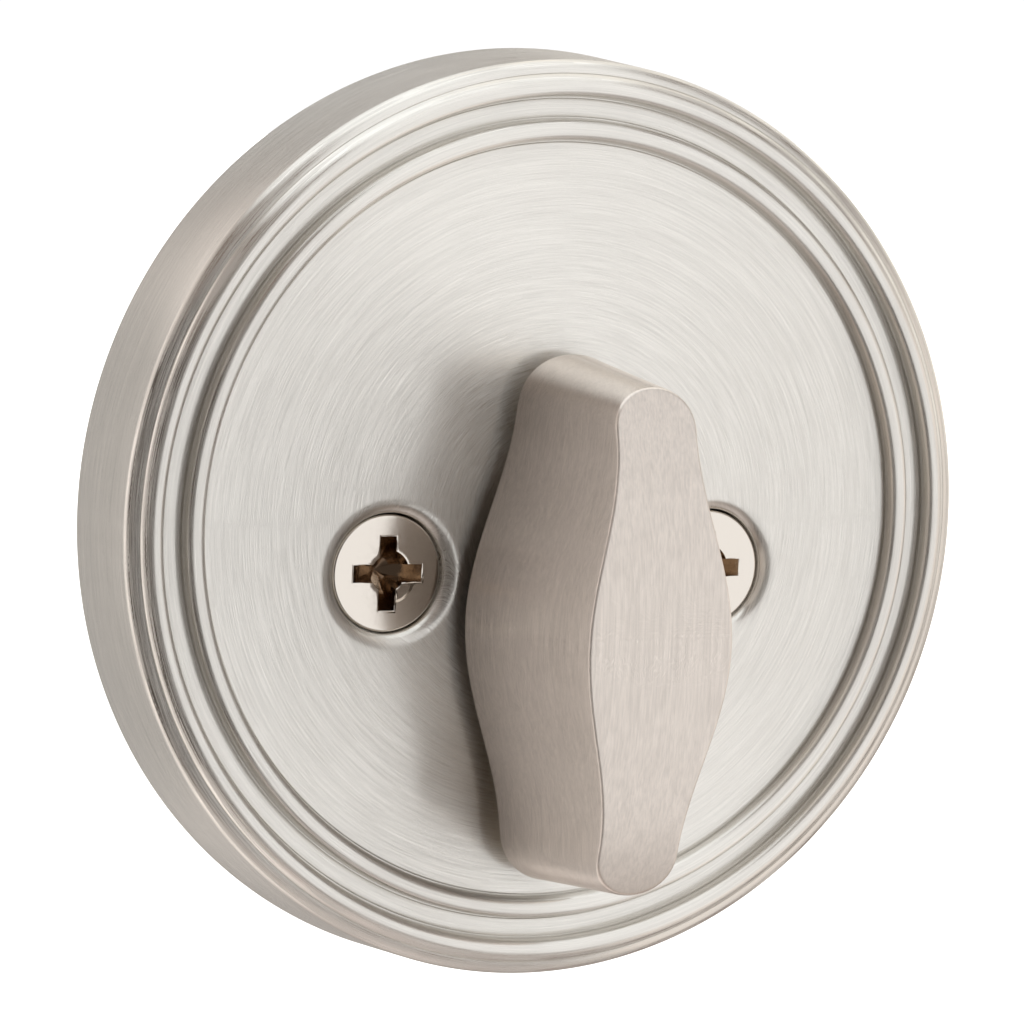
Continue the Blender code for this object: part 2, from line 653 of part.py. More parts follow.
def make_anchor(steel, nut_finish):
    """Stamped plate behind the bolt case, and the two press nuts that take the screws."""
    corner = ANCHOR_HALF_HEIGHT
    straight = ANCHOR_HALF_LENGTH - corner
    right = arc(straight, SCREW_Z, corner, -math.pi / 2, math.pi / 2, 12)
    left = arc(-straight, SCREW_Z, corner, math.pi / 2, 3 * math.pi / 2, 12)
    bore = SCREW_RADIUS + GAP
    pilot = bore + NUT_PILOT_WALL
    holes = [arc(sign * SCREW_X, SCREW_Z, pilot + GAP, 0.0, 2 * math.pi, 24)[:-1] for _, sign in SCREW_SIDES]
    window = arc(0.0, SCREW_Z, ANCHOR_WINDOW, 0.0, 2 * math.pi, 24)[:-1]
    back = ANCHOR_FRONT - ANCHOR_THICKNESS
    flat_plate("anchor_plate", [right + left, *holes, window], ANCHOR_FRONT, back, steel)
    seat = back - GAP
    body = bore + NUT_WALL
    profile = [
        (pilot, ANCHOR_FRONT - GAP),
        (pilot, seat),
        (body, seat),
        (body, seat - NUT_HEIGHT),
        (bore, seat - NUT_HEIGHT),
        (bore, ANCHOR_FRONT - GAP),
    ]
    for side, sign in SCREW_SIDES:
        turned("anchor_nut_" + side, profile, nut_finish, sign * SCREW_X, SCREW_Z, steps=24, closed=True)


def shade_smooth():
    """Smooth shading on the round pieces, with their real edges kept sharp."""
    for obj in parts.objects:
        if obj.type == "MESH":
            obj.data.shade_smooth()
            obj.data.set_sharp_from_angle(angle=math.radians(35))


def main():
    """Makes every piece."""
    clear_scene()
    nickel = material("satin nickel plate", (0.56, 0.53, 0.49), 0.32)
    cast_nickel = material("satin nickel on cast zinc", (0.52, 0.49, 0.45), 0.34)
    bright_nickel = material("bright nickel plate", (0.58, 0.55, 0.51), 0.25)
    zinc = material("cast zinc", (0.42, 0.42, 0.43), 0.5)
    steel = material("zinc-plated steel", (0.5, 0.5, 0.48), 0.4)
    spring_steel = material("spring steel", (0.28, 0.28, 0.3), 0.35)
    nylon = material("black nylon", (0.02, 0.02, 0.02), 0.5, metallic=0.0)
    bronze = material("sintered bronze", (0.45, 0.31, 0.16), 0.5)

    make_rose(nickel)
    make_thumbturn(cast_nickel)
    washer_inner = NECK_RADIUS + GAP
    washer_outer = washer_inner + FACE_WASHER_WIDTH
    ring("face_washer", washer_inner, washer_outer, GRIP_BACK - GAP, FACE_HEIGHT + GAP, nylon, z=TURN_Z)
    make_support_plate(zinc)
    make_bushing(bronze)
    thrust_back = THRUST_TOP - THRUST_THICKNESS
    ring("thrust_washer", BUSHING_BORE, THRUST_RADIUS, THRUST_TOP, thrust_back, steel, z=TURN_Z)
    make_wave_washer(spring_steel)
    make_cam(steel)
    make_retaining_ring(spring_steel)
    make_detent_spring(spring_steel)
    make_blade(steel)
    make_pin(spring_steel)
    make_anchor(steel, steel)
    for side, sign in SCREW_SIDES:
        make_screw(side, sign, bright_nickel)
        make_screw_retainer(side, sign, nylon)
        make_spring_post(side, sign, steel)
    shade_smooth()


main()
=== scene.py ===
"""Satin nickel thumbturn trim of a deadbolt: fine surfaces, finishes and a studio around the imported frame.

The door's surface is the plane Y = 0, the room is on the -Y side, X runs to the right and Z up.
A height h above the door's surface lies at Y = -h, and what goes into the door has negative heights.
"""

import json
import math

import bmesh
import bpy
import numpy as np
from bpy.props import FloatProperty, FloatVectorProperty, IntProperty, PointerProperty
from mathutils import Matrix, Vector
from mathutils.geometry import delaunay_2d_cdt

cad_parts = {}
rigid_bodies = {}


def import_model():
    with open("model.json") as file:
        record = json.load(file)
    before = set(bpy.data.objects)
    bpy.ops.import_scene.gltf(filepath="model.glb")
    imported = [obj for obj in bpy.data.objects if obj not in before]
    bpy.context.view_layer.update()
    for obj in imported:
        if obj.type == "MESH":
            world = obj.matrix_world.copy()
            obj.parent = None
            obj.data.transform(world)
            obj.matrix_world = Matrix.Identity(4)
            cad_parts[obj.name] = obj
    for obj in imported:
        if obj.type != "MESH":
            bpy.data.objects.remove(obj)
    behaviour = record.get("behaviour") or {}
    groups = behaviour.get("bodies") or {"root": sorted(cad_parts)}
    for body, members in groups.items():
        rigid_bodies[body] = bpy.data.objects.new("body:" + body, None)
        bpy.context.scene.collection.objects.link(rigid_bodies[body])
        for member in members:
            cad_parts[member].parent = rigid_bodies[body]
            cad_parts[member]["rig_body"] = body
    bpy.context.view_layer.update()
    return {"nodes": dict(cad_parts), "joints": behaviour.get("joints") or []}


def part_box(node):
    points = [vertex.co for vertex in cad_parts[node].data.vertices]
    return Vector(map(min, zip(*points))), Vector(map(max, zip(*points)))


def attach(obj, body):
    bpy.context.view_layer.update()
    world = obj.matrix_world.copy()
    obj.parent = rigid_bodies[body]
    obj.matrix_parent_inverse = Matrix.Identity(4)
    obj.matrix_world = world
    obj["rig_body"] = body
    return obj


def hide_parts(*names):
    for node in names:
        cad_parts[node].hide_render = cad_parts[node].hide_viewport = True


bl_info = {
    "name": "Deadbolt Thumbturn Trim",
    "version": (1, 0, 0),
    "blender": (4, 5, 0),
    "location": "3D View > Sidebar > Thumbturn Trim",
    "description": "Makes the rose, thumbturn, screws and inner pieces of a deadbolt's interior trim",
    "category": "Add Mesh",
}

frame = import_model()
MM = 0.001
FULL_TURN = 2 * math.pi
SIDES = (("left", -1), ("right", 1))
CLEARANCE = 0.3 * MM  # gap between pieces that touch on the real trim


def low(node):
    """Lowest corner of a CAD node."""
    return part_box(node)[0]


def high(node):
    """Highest corner of a CAD node."""
    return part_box(node)[1]


def top_of(node):
    """Height of the node's side towards the room."""
    return -low(node).y


def bottom_of(node):
    """Height of the node's side towards the door."""
    return -high(node).y


def span_of(node):
    """Both heights of the node: its side towards the room, and its side towards the door."""
    return top_of(node), bottom_of(node)


def middle_of(node):
    """Middle of the node's box."""
    return (low(node) + high(node)) / 2


def width_of(node):
    """Size of the node along X."""
    return high(node).x - low(node).x


TURN_Z = frame["joints"][0]["pos_m"][2]
SCREW_X, _, SCREW_Z = middle_of("screw_right")
HEAD_SLOPE = math.tan(math.radians(41))  # half the angle of a flat head's cone


# Surfaces: each is a grid of points, worked out as whole arrays


def turn_angles(steps):
    """Angles of equal steps round a full turn."""
    return np.linspace(0.0, FULL_TURN, steps, endpoint=False)


def turned(profile, x=0.0, z=0.0, steps=96):
    """Grid of a (radius, height) profile carried round an axis square to the door.

    X and Z are the axis's place plus the radius times the cosine and sine of the angle, and Y is minus the
    height. The steps are a number of equal ones, or the angles themselves.
    """
    profile = np.asarray(profile, float)
    angle = turn_angles(steps) if isinstance(steps, int) else steps
    radius = profile[:, :1]
    flat = np.ones(len(angle))
    points = [x + radius * np.cos(angle), -profile[:, 1:] * flat, z + radius * np.sin(angle)]
    return {"points": np.stack(points, axis=-1)}


def ring_loop(radius, x=0.0, z=0.0, steps=96):
    """(x, z) points of a circle, at the same angles as a turned grid."""
    angle = turn_angles(steps)
    return np.stack([x + radius * np.cos(angle), z + radius * np.sin(angle)], axis=-1)


def arc(centre, radius, start, end, count=8):
    """Points round part of a circle, angles in degrees: the centre plus the radius times cosine and sine."""
    angle = np.radians(np.linspace(start, end, count))
    return np.stack([centre[0] + radius * np.cos(angle), centre[1] + radius * np.sin(angle)], axis=-1)


def corner(across, height, radius, start, end, count=5):
    """Rounded corner of a (radius, height) profile: the arc that ends on the corner's two sides."""
    middle = math.radians((start + end) / 2)
    out, up = math.copysign(radius, math.cos(middle)), math.copysign(radius, math.sin(middle))
    return arc((across - out, height - up), radius, start, end, count)


def join(*runs):
    """One list of points from several runs."""
    return np.concatenate([np.atleast_2d(np.asarray(run, float)) for run in runs])


def lifted(loop, height):
    """(x, z) points brought to one height, or each to its own: Y is minus the height."""
    return np.stack([loop[:, 0], -height * np.ones(len(loop)), loop[:, 1]], axis=-1)


def inside(loop, points):
    """Which points lie inside a closed loop: an odd number of its sides passes to their right."""
    x, z = points[:, :1], points[:, 1:]
    x1, z1 = loop[:, 0], loop[:, 1]
    x2, z2 = np.roll(loop, -1, axis=0).T
    crosses = (z1 > z) != (z2 > z)
    with np.errstate(divide="ignore", invalid="ignore"):
        at = x1 + (z - z1) / (z2 - z1) * (x2 - x1)
    return (crosses & (x < at)).sum(axis=1) % 2 == 1


def between(loops, points):
    """Which points lie inside the first loop and outside the others."""
    within = inside(loops[0], points)
    for hole in loops[1:]:
        within &= ~inside(hole, points)
    return within


def sheet(height, outer, holes=(), filling=None):
    """Flat triangles at one height between an outer loop and its holes, by Delaunay's rule.

    Filling points lie at least half a millimetre from every loop.
    """
    loops = [outer, *holes]
    edges = []
    for loop in loops:
        start, count = len(edges), len(loop)
        edges += [(start + i, start + (i + 1) % count) for i in range(count)]
    if filling is not None:
        away = between(loops, filling)
        for loop in loops:
            away &= np.linalg.norm(filling[:, None] - loop[None], axis=2).min(axis=1) >= 0.5 * MM
        loops.append(filling[away])
    points = np.concatenate(loops) / MM
    found = delaunay_2d_cdt([Vector(p) for p in points], edges, [], 0, 1e-5)
    flat = np.array([tuple(v) for v in found[0]]) * MM
    faces = np.array(found[2])
    keep = between([outer, *holes], flat[faces].mean(axis=1))
    return {"points": lifted(flat, height), "faces": faces[keep]}


def polar_points(radius, step):
    """(x, z) points on rings a step apart, each ring with points about a step apart."""
    rings = [np.zeros((1, 2))]
    for ring_radius in np.arange(step, radius, step):
        rings.append(ring_loop(ring_radius, steps=max(6, int(FULL_TURN * ring_radius / step))))
    return np.concatenate(rings)


def outward(loop):
    """Unit normals of a closed loop that runs anticlockwise: its direction turned a quarter clockwise."""
    along = np.roll(loop, -1, axis=0) - np.roll(loop, 1, axis=0)
    normal = np.stack([along[:, 1], -along[:, 0]], axis=-1)
    return normal / np.linalg.norm(normal, axis=1, keepdims=True)


def wall(loop, section):
    """Grid of a closed (x, z) loop carried through (inset, height) steps, moved in along its normals."""
    normal = outward(loop)
    return {"points": np.array([lifted(loop - normal * inset, height) for inset, height in section])}


def rounded_section(top, bottom, edge, guard, sign=1):
    """(inset, height) steps of a wall with quarter-circle edges. The guard keeps its neighbour flat."""
    bend = np.radians(np.linspace(90.0, 0.0, 5))
    inset, drop = edge * (1 - np.cos(bend)), edge * (1 - np.sin(bend))
    upper = np.stack([inset, top - drop], axis=-1)
    lower = np.stack([inset, bottom + drop], axis=-1)[::-1]
    section = join((edge + guard, top), upper, lower, (edge + guard, bottom))
    section[:, 0] *= sign
    return section


def slab(outer, holes, top, bottom, edge=0.12 * MM, guard=0.05 * MM):
    """Plate of any outline with holes: rounded walls round each loop, and a flat sheet on both sides."""
    solid = rounded_section(top, bottom, edge, guard)
    hollow = rounded_section(top, bottom, edge, guard, sign=-1)
    patches = [wall(outer, solid)] + [wall(hole, hollow) for hole in holes]
    inset = edge + guard
    rim = outer - outward(outer) * inset
    mouths = [hole + outward(hole) * inset for hole in holes]
    return patches + [sheet(top, rim, mouths), sheet(bottom, rim, mouths)]


def ring_section(inner, outer, top, bottom, edge=0.12 * MM):
    """Closed (radius, height) section of a washer or sleeve with rounded corners."""
    section = join(
        corner(outer, top, edge, 90, 0), corner(outer, bottom, edge, 0, -90),
        corner(inner, bottom, edge, -90, -180), corner(inner, top, edge, 180, 90),
    )
    return join(section, section[0])


def grid_faces(points, start, ends_meet):
    """Four-cornered faces of a grid of points, whose last column meets its first if its ends meet."""
    rows, columns = points.shape[:2]
    i, j = np.meshgrid(np.arange(rows - 1), np.arange(columns - 1 + ends_meet), indexing="ij")
    here, below = i * columns, (i + 1) * columns
    following = (j + 1) % columns
    corners = np.stack([here + j, below + j, below + following, here + following], axis=-1)
    return start + corners.reshape(-1, 4)


def mesh_of(name, patches):
    """One closed mesh of grids and sheets: same points are merged, and every face is turned outwards."""
    points, faces, marks = [], [], []
    start = 0
    for patch in patches:
        if "faces" in patch:
            corners = patch["faces"] + start
        else:
            corners = grid_faces(patch["points"], start, patch.get("ends_meet", True))
        flat = patch["points"].reshape(-1, 3)
        points.append(flat)
        faces += corners.tolist()
        marks += [patch.get("mark", 0)] * len(corners)
        start += len(flat)
    mesh = bpy.data.meshes.new(name)
    mesh.from_pydata(np.concatenate(points), [], faces)
    mesh.polygons.foreach_set("material_index", marks)
    shape = bmesh.new()
    shape.from_mesh(mesh)
    bmesh.ops.remove_doubles(shape, verts=shape.verts, dist=2e-7)
    bmesh.ops.dissolve_degenerate(shape, edges=shape.edges, dist=1e-7)
    bmesh.ops.recalc_face_normals(shape, faces=shape.faces)
    if shape.calc_volume(signed=True) < 0:
        bmesh.ops.reverse_faces(shape, faces=shape.faces)
    shape.to_mesh(mesh)
    shape.free()
    return mesh


def add_piece(node, patches, slot, *finishes, sharp=40):
    """Puts a fine piece in its CAD node's place, on the node's body, shaded smooth between real edges."""
    mesh = mesh_of("fine_" + node, patches)
    mesh.shade_smooth()
    mesh.set_sharp_from_angle(angle=math.radians(sharp))
    piece = bpy.data.objects.new("fine_" + node, mesh)
    bpy.context.scene.collection.objects.link(piece)
    for finish in finishes:
        mesh.materials.append(finish)
    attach(piece, frame["nodes"][node]["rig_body"])
    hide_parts(node)
    return piece


def add_plate(node, slot, finish, outline, holes=(), edge=0.12 * MM, guard=0.05 * MM):
    """Puts in a fine piece that is one outline with its holes, between its node's two heights."""
    return add_piece(node, slab(outline, holes, *span_of(node), edge, guard), slot, finish, sharp=50)


def cut_hole(piece, radius, half_length, centre):
    """Drills a round hole along X through a finished piece."""
    drill_mesh = bpy.data.meshes.new("drill")
    shape = bmesh.new()
    turn = Matrix.Translation(centre) @ Matrix.Rotation(math.radians(90), 4, "Y")
    bmesh.ops.create_cone(
        shape, cap_ends=True, segments=40, radius1=radius, radius2=radius, depth=2 * half_length, matrix=turn
    )
    shape.to_mesh(drill_mesh)
    shape.free()
    drill = bpy.data.objects.new("drill", drill_mesh)
    bpy.context.scene.collection.objects.link(drill)
    cut = piece.modifiers.new("hole", "BOOLEAN")
    cut.operation = "DIFFERENCE"
    cut.object = drill
    bpy.context.view_layer.update()
    graph = bpy.context.evaluated_depsgraph_get()
    cut_mesh = bpy.data.meshes.new_from_object(piece.evaluated_get(graph))
    piece.modifiers.clear()
    piece.data = cut_mesh
    bpy.data.objects.remove(drill)


def pierce(patches, profile, x, z, steps=96, first=None, last=None):
    """Adds a turned profile, and the holes that its first and last points leave in the sheets they meet."""
    patches.append(turned(profile, x, z, steps))
    for holes, point in ((first, profile[0]), (last, profile[-1])):
        if holes is not None:
            holes.append(ring_loop(point[0], x, z, steps))


# Materials


def linear(hex_colour):
    """Linear RGBA of an sRGB hex colour, which undoes the sRGB curve on each channel."""
    channels = [int(hex_colour[i : i + 2], 16) / 255 for i in (0, 2, 4)]
    return (*[c / 12.92 if c <= 0.04045 else ((c + 0.055) / 1.055) ** 2.4 for c in channels], 1.0)


def feed(node, inputs):
    """Sets or links a node's inputs."""
    for key, value in inputs.items():
        if isinstance(value, bpy.types.NodeSocket):
            node.id_data.links.new(value, node.inputs[key])
        else:
            node.inputs[key].default_value = value


def add(tree, kind, inputs=None, output=0, **settings):
    """Adds one node with its settings, sets or links its inputs, and gives the output asked for."""
    node = tree.nodes.new("ShaderNode" + kind)
    for key, value in settings.items():
        setattr(node, key, value)
    feed(node, inputs or {})
    return node.outputs[output]


def new_material(name, colour, metallic, roughness):
    """A material with its Principled shader's constants set: (material, tree, shader)."""
    material = bpy.data.materials.new(name)
    material.use_nodes = True
    tree = material.node_tree
    shader = tree.nodes["Principled BSDF"]
    feed(shader, {"Base Color": linear(colour), "Metallic": metallic, "Roughness": roughness})
    return material, tree, shader


POLISHED = 0.13  # roughness of the plate between the hairs
NOISE = {"Scale": 1.0, "Detail": 2.0}


def brush(tree, shader, lines, scratch, colour, finish, tint, hair, polish):
    """Brushed metal: noise stretched along the lines tints and scores it, and the gloss spreads across them.

    The gloss's tangent is the surface's normal crossed with the direction of the scratches. Between
    hair-fine scratches, hair times as close as the lines, the plate stays nearly polished: polish holds the
    noise values where that ends and where the dull begins. The hairs are as fine as real scratches. The
    lines that tint and score are drawn many times coarser than real ones, so that they can be seen.
    """
    fine = add(tree, "TexNoise", {"Vector": lines, **NOISE, "Roughness": 0.6})
    broad = add(tree, "VectorMath", {0: lines, 1: (0.21, 0.35, 0.35)}, operation="MULTIPLY")
    bands = add(tree, "TexNoise", {"Vector": broad, **NOISE, "Roughness": 0.5})
    bands = add(tree, "Math", {0: bands, 1: 0.4}, operation="MULTIPLY")
    both = add(tree, "Math", {0: fine, 1: bands}, operation="ADD")
    share = add(tree, "MapRange", {"Value": both, "From Min": 0.5, "From Max": 0.9})
    hair = add(tree, "VectorMath", {0: lines, 1: hair}, operation="MULTIPLY")
    hair = add(tree, "TexNoise", {"Vector": hair, "Scale": 1.0, "Detail": 1.0})
    gloss = {"Value": hair, "From Min": polish[0], "From Max": polish[1]}
    gloss = add(tree, "MapRange", {**gloss, "To Min": POLISHED, "To Max": finish.roughness})
    dark, light = ([min(1.0, c * way) for c in linear(colour)[:3]] + [1.0] for way in (1 - tint, 1 + tint))
    tone = add(tree, "Mix", {0: share, 6: dark, 7: light}, 2, data_type="RGBA")
    score = add(tree, "Bump", {"Strength": 1.0, "Distance": finish.score_depth, "Height": fine})
    spaces = {"vector_type": "VECTOR", "convert_from": "OBJECT", "convert_to": "WORLD"}
    to_world = add(tree, "VectorTransform", {0: scratch}, **spaces)
    normal = add(tree, "NewGeometry", output="Normal")
    across = add(tree, "VectorMath", {0: normal, 1: to_world}, operation="CROSS_PRODUCT")
    across = add(tree, "VectorMath", {0: across}, operation="NORMALIZE")
    feed(shader, {"Base Color": tone, "Roughness": gloss, "Normal": score, "Tangent": across})
    feed(shader, {"Anisotropic": finish.stretch})


def satin_nickel_rose(finish):
    """Satin nickel plate, brushed in circles as the rose turned: fine arcs, sharp along and soft across."""
    colour = "DAD6CF"
    material, tree, shader = new_material("satin nickel, brushed in circles", colour, 1.0, finish.roughness)
    place = add(tree, "TexCoord", output="Object")
    flat = add(tree, "VectorMath", {0: place, 1: (1.0, 0.0, 1.0)}, operation="MULTIPLY")
    radius = add(tree, "VectorMath", {0: flat}, "Value", operation="LENGTH")
    direction = add(tree, "VectorMath", {0: flat}, operation="NORMALIZE")
    depth = add(tree, "SeparateXYZ", {0: place}, "Y")
    across = add(tree, "Math", {0: radius, 1: depth}, operation="SUBTRACT")
    across = add(tree, "Math", {0: across, 1: 1.0 / finish.spacing}, operation="MULTIPLY")
    turn = add(tree, "VectorMath", {0: direction, 1: (4.0, 4.0, 4.0)}, operation="MULTIPLY")
    side = add(tree, "SeparateXYZ", {0: turn}, "X")
    rise = add(tree, "SeparateXYZ", {0: turn}, "Z")
    lines = add(tree, "CombineXYZ", {"X": across, "Y": side, "Z": rise})
    scratch = add(tree, "VectorMath", {0: (0.0, 1.0, 0.0), 1: place}, operation="CROSS_PRODUCT")
    brush(tree, shader, lines, scratch, colour, finish, finish.tint, (30.0, 1.5, 1.5), (0.44, 0.52))
    return material


def satin_nickel_grip(finish):
    """Satin nickel on cast zinc, brushed along the grip: fine straight lines, slightly warmer in colour."""
    colour = "DFD6CD"
    material, tree, shader = new_material("satin nickel, brushed lengthwise", colour, 1.0, finish.roughness)
    place = add(tree, "TexCoord", output="Object")
    fine = 0.7 / finish.spacing
    lines = add(tree, "VectorMath", {0: place, 1: (fine, fine, 0.018 * fine)}, operation="MULTIPLY")
    upright, tint = (0.0, 0.0, 1.0), 1.4 * finish.tint
    brush(tree, shader, lines, upright, colour, finish, tint, (30.0, 30.0, 1.5), (0.36, 0.44))
    return material


def bright_nickel(name, colour, roughness, pit_size, depth):
    """Barrel-plated nickel: shiny, with the fine pits and dull specks of tumbled screws."""
    material, tree, shader = new_material(name, colour, 1.0, roughness)
    place = add(tree, "TexCoord", output="Object")
    pits = add(tree, "TexNoise", {"Vector": place, "Scale": 1 / pit_size, "Detail": 4.0, "Roughness": 0.7})
    specks = add(tree, "TexNoise", {"Vector": place, "Scale": 0.6 / pit_size, "Detail": 3.0})
    spread = {"To Min": roughness - 0.06, "To Max": roughness + 0.1}
    rough = add(tree, "MapRange", {"Value": specks, "From Min": 0.35, "From Max": 0.7, **spread})
    relief = add(tree, "Bump", {"Strength": 1.0, "Distance": depth, "Height": pits})
    feed(shader, {"Roughness": rough, "Normal": relief})
    return material


def grained(name, colour, dark, metallic, roughness, grain, depth):
    """A cast, sintered or moulded surface: noise of the grain's size mixes two tones and dents it."""
    material, tree, shader = new_material(name, colour, metallic, roughness)
    place = add(tree, "TexCoord", output="Object")
    noise = add(tree, "TexNoise", {"Vector": place, "Scale": 1 / grain, "Detail": 5.0, "Roughness": 0.6})
    tone = add(tree, "Mix", {0: noise, 6: linear(dark), 7: linear(colour)}, 2, data_type="RGBA")
    relief = add(tree, "Bump", {"Strength": depth, "Distance": 0.05 * MM, "Height": noise})
    feed(shader, {"Base Color": tone, "Normal": relief})
    return material


# Sizes and colours that a user may change


def length(name, description, default):
    """A size that the panel shows with its unit."""
    return FloatProperty(name=name, description=description, default=default, unit="LENGTH")


def turn_by(name, description, degrees):
    """An angle that the panel shows in degrees."""
    return FloatProperty(name=name, description=description, default=math.radians(degrees), unit="ROTATION")


class RoseSettings(bpy.types.PropertyGroup):
    bead_width: length("Bead width", "Outer bead, from its crease to its foot", 1.66 * MM)
    crown: length("Crown", "Rise of the face to its middle", 0.3 * MM)
    lip: length("Lip", "Width of the dimples' lip", 1.15 * MM)
    fineness: IntProperty(name="Fineness", description="Steps round the rose", default=384, min=96, max=720)


class GripSettings(bpy.types.PropertyGroup):
    crown: length("Crown", "Radius of the grip's bowed front", 52.0 * MM)
    edge: length("Edge", "Rounding of the grip's edges", 0.22 * MM)


class FinishSettings(bpy.types.PropertyGroup):
    roughness: FloatProperty(name="Roughness", description="Spread of the gloss in dull lines", default=0.4)
    stretch: FloatProperty(name="Stretch", description="Pull of the gloss across the lines", default=0.92)
    tint: FloatProperty(name="Tint", description="How far the lines' tone strays", default=0.06)
    spacing: length("Line spacing", "Distance between brushed lines", 0.1 * MM)
    score_depth: length("Line depth", "Depth of the brushed lines", 0.0007 * MM)


class StageSettings(bpy.types.PropertyGroup):
    azimuth: turn_by("Azimuth", "Camera's turn round the lock", -26.22)
    elevation: turn_by("Elevation", "Camera's height as an angle", 6.403)
    roll: turn_by("Roll", "Camera's lean", 2.409)
    distance: length("Distance", "Camera to rose", 0.4)
    lens: FloatProperty(name="Lens", description="Focal length in millimetres", default=195.37)
    aim: FloatVectorProperty(
        name="Aim",
        description="Point that the camera faces",
        default=(0.63 * MM, 0.0, -0.335 * MM),
        unit="LENGTH",
    )


def settings(name):
    """The settings of one group on the scene."""
    return getattr(bpy.context.scene, "thumbturn_trim_" + name)


# Pieces


FULLNESS = 2.8  # power of a bead's round side, where 2 is a plain ellipse


def shoulder(start, end, first, last, count=14):
    """(radius, height) points from start to end: an arc between two angles, stretched to reach both."""
    angle = np.radians(np.linspace(first, last, count))
    out = (np.sin(angle) - np.sin(angle[0])) / (np.sin(angle[-1]) - np.sin(angle[0]))
    down = (np.cos(angle) - np.cos(angle[0])) / (np.cos(angle[-1]) - np.cos(angle[0]))
    return np.stack([start[0] + (end[0] - start[0]) * out, start[1] + (end[1] - start[1]) * down], axis=-1)


def flank(crest, foot, count=18):
    """(radius, height) points of a bead's full round side, from crest to foot: a superellipse quarter."""
    angle = np.linspace(0.0, math.pi / 2, count)
    across = np.sin(angle) ** (2 / FULLNESS)
    up = np.clip(np.cos(angle), 0.0, 1.0) ** (2 / FULLNESS)
    return np.stack([crest[0] + (foot[0] - crest[0]) * across, foot[1] + (crest[1] - foot[1]) * up], axis=-1)


def crevice(foot, side):
    """(radius, height) points of the fine groove at a bead's foot, on its side: -1 inwards, 1 outwards."""
    steps = ((0.01, -0.13), (0.09, -0.13), (0.13, -0.02), (0.17, 0.0))
    return np.array([(foot[0] + side * out * MM, foot[1] + rise * MM) for out, rise in steps])


class TRIM_OT_rose(bpy.types.Operator):
    """Make the formed rose: drafted side wall, two beads, screw dimples and the thumbturn's hole"""

    bl_idname = "thumbturn_trim.rose"
    bl_label = "Rose"

    def execute(self, context):
        sizes = settings("rose")
        steps = sizes.fineness
        radius = high("rose").x
        top = top_of("rose")
        face = top - 0.67 * MM
        thickness = 1.0 * MM
        under = face - thickness
        band = top - 1.09 * MM
        guard = 0.15 * MM
        wall_top = (radius - 0.45 * MM, 7.45 * MM)
        crease = (radius - 1.42 * MM, 8.3 * MM)
        outer_crest = (crease[0] - 0.93 * MM, top)
        band_outside = (crease[0] - sizes.bead_width, band)
        band_inside = (band_outside[0] - 1.5 * MM, band)
        inner_crest = (band_inside[0] - 0.77 * MM, top)
        edge = (band_inside[0] - 1.54 * MM, face - sizes.crown)
        outside = join(
            (edge[0] - 2.5 * guard, face), (edge[0] - 1.5 * guard, face), crevice(edge, -1)[::-1],
            flank(inner_crest, edge)[::-1], flank(inner_crest, band_inside)[1:], crevice(band_inside, 1),
            crevice(band_outside, -1)[::-1], flank(outer_crest, band_outside)[::-1],
            shoulder(outer_crest, (crease[0] - 0.02 * MM, crease[1] + 0.02 * MM), 0, 30, 10)[1:],
            (crease[0], crease[1] - 0.04 * MM),
            shoulder((crease[0] + 0.03 * MM, crease[1] - 0.005 * MM), wall_top, 35, 85, 14),
            (radius - 0.02 * MM, 0.15 * MM), (radius - 0.05 * MM, 0.0), (radius - thickness, 0.0),
            (radius - thickness - 0.35 * MM, band - thickness - 0.4 * MM),
            (radius - thickness - 0.75 * MM, band - thickness), (edge[0], band - thickness),
            (edge[0] - 0.6 * MM, under), (edge[0] - 0.6 * MM - guard, under),
        )
        patches = [turned(outside, steps=steps)]
        front_holes, back_holes = [], []
        head = width_of("screw_right") / 2
        mouth = head + 0.14 * MM
        hole = width_of("screw_retainer_right") / 2 - 1.62 * MM
        head_top = top_of("screw_right")
        boss = hole + 1.5 * MM
        foot = top_of("turn_bushing") - 1.0 * MM
        lip_end = (mouth + 0.02 * MM, head_top + 0.06 * MM)
        lip_start = (mouth + sizes.lip, face)
        lip_arc = shoulder(lip_start, lip_end, 0, 62, 16)
        for _, sign in SIDES:
            dimple = join(
                (lip_start[0] + 2 * guard, face), (lip_start[0] + guard, face), lip_arc,
                (mouth, head_top - 0.3 * MM), (hole, head_top - 0.3 * MM - (mouth - hole) / HEAD_SLOPE),
                (hole, foot), (boss, foot), (boss + 2.2 * MM, under - 0.3 * MM), (boss + 2.7 * MM, under),
                (boss + 2.7 * MM + guard, under),
            )
            pierce(patches, dimple, sign * SCREW_X, SCREW_Z, 120, front_holes, back_holes)
        neck = 5.8 * MM
        roundness = 0.3 * MM
        collar = join(
            (neck + roundness + guard, face), corner(neck, face, roundness, 90, 180, 6), (neck, under),
            (neck + guard, under),
        )
        pierce(patches, collar, 0.0, TURN_Z, 96, front_holes, back_holes)
        filling = polar_points(edge[0], 1.1 * MM)
        patches.append(sheet(face, ring_loop(outside[0][0], steps=steps), front_holes, filling))
        patches.append(sheet(under, ring_loop(outside[-1][0], steps=steps), back_holes))
        for patch in patches:
            self.crown(patch["points"], edge, sizes.crown, under)
        add_piece("rose", patches, "rose_nickel", satin_nickel_rose(settings("finish")))
        return {"FINISHED"}

    def crown(self, points, edge, amount, under):
        """Sinks the face by the square of the radius, fully at the top and not at the underside."""
        radius = np.hypot(points[..., 0], points[..., 2])
        share = np.clip((-points[..., 1] - under) / (0.5 * MM), 0.0, 1.0)
        sunk = amount * (radius / edge[0]) ** 2 * share
        points[..., 1] += np.where(radius < edge[0] - 0.18 * MM, sunk, 0.0)


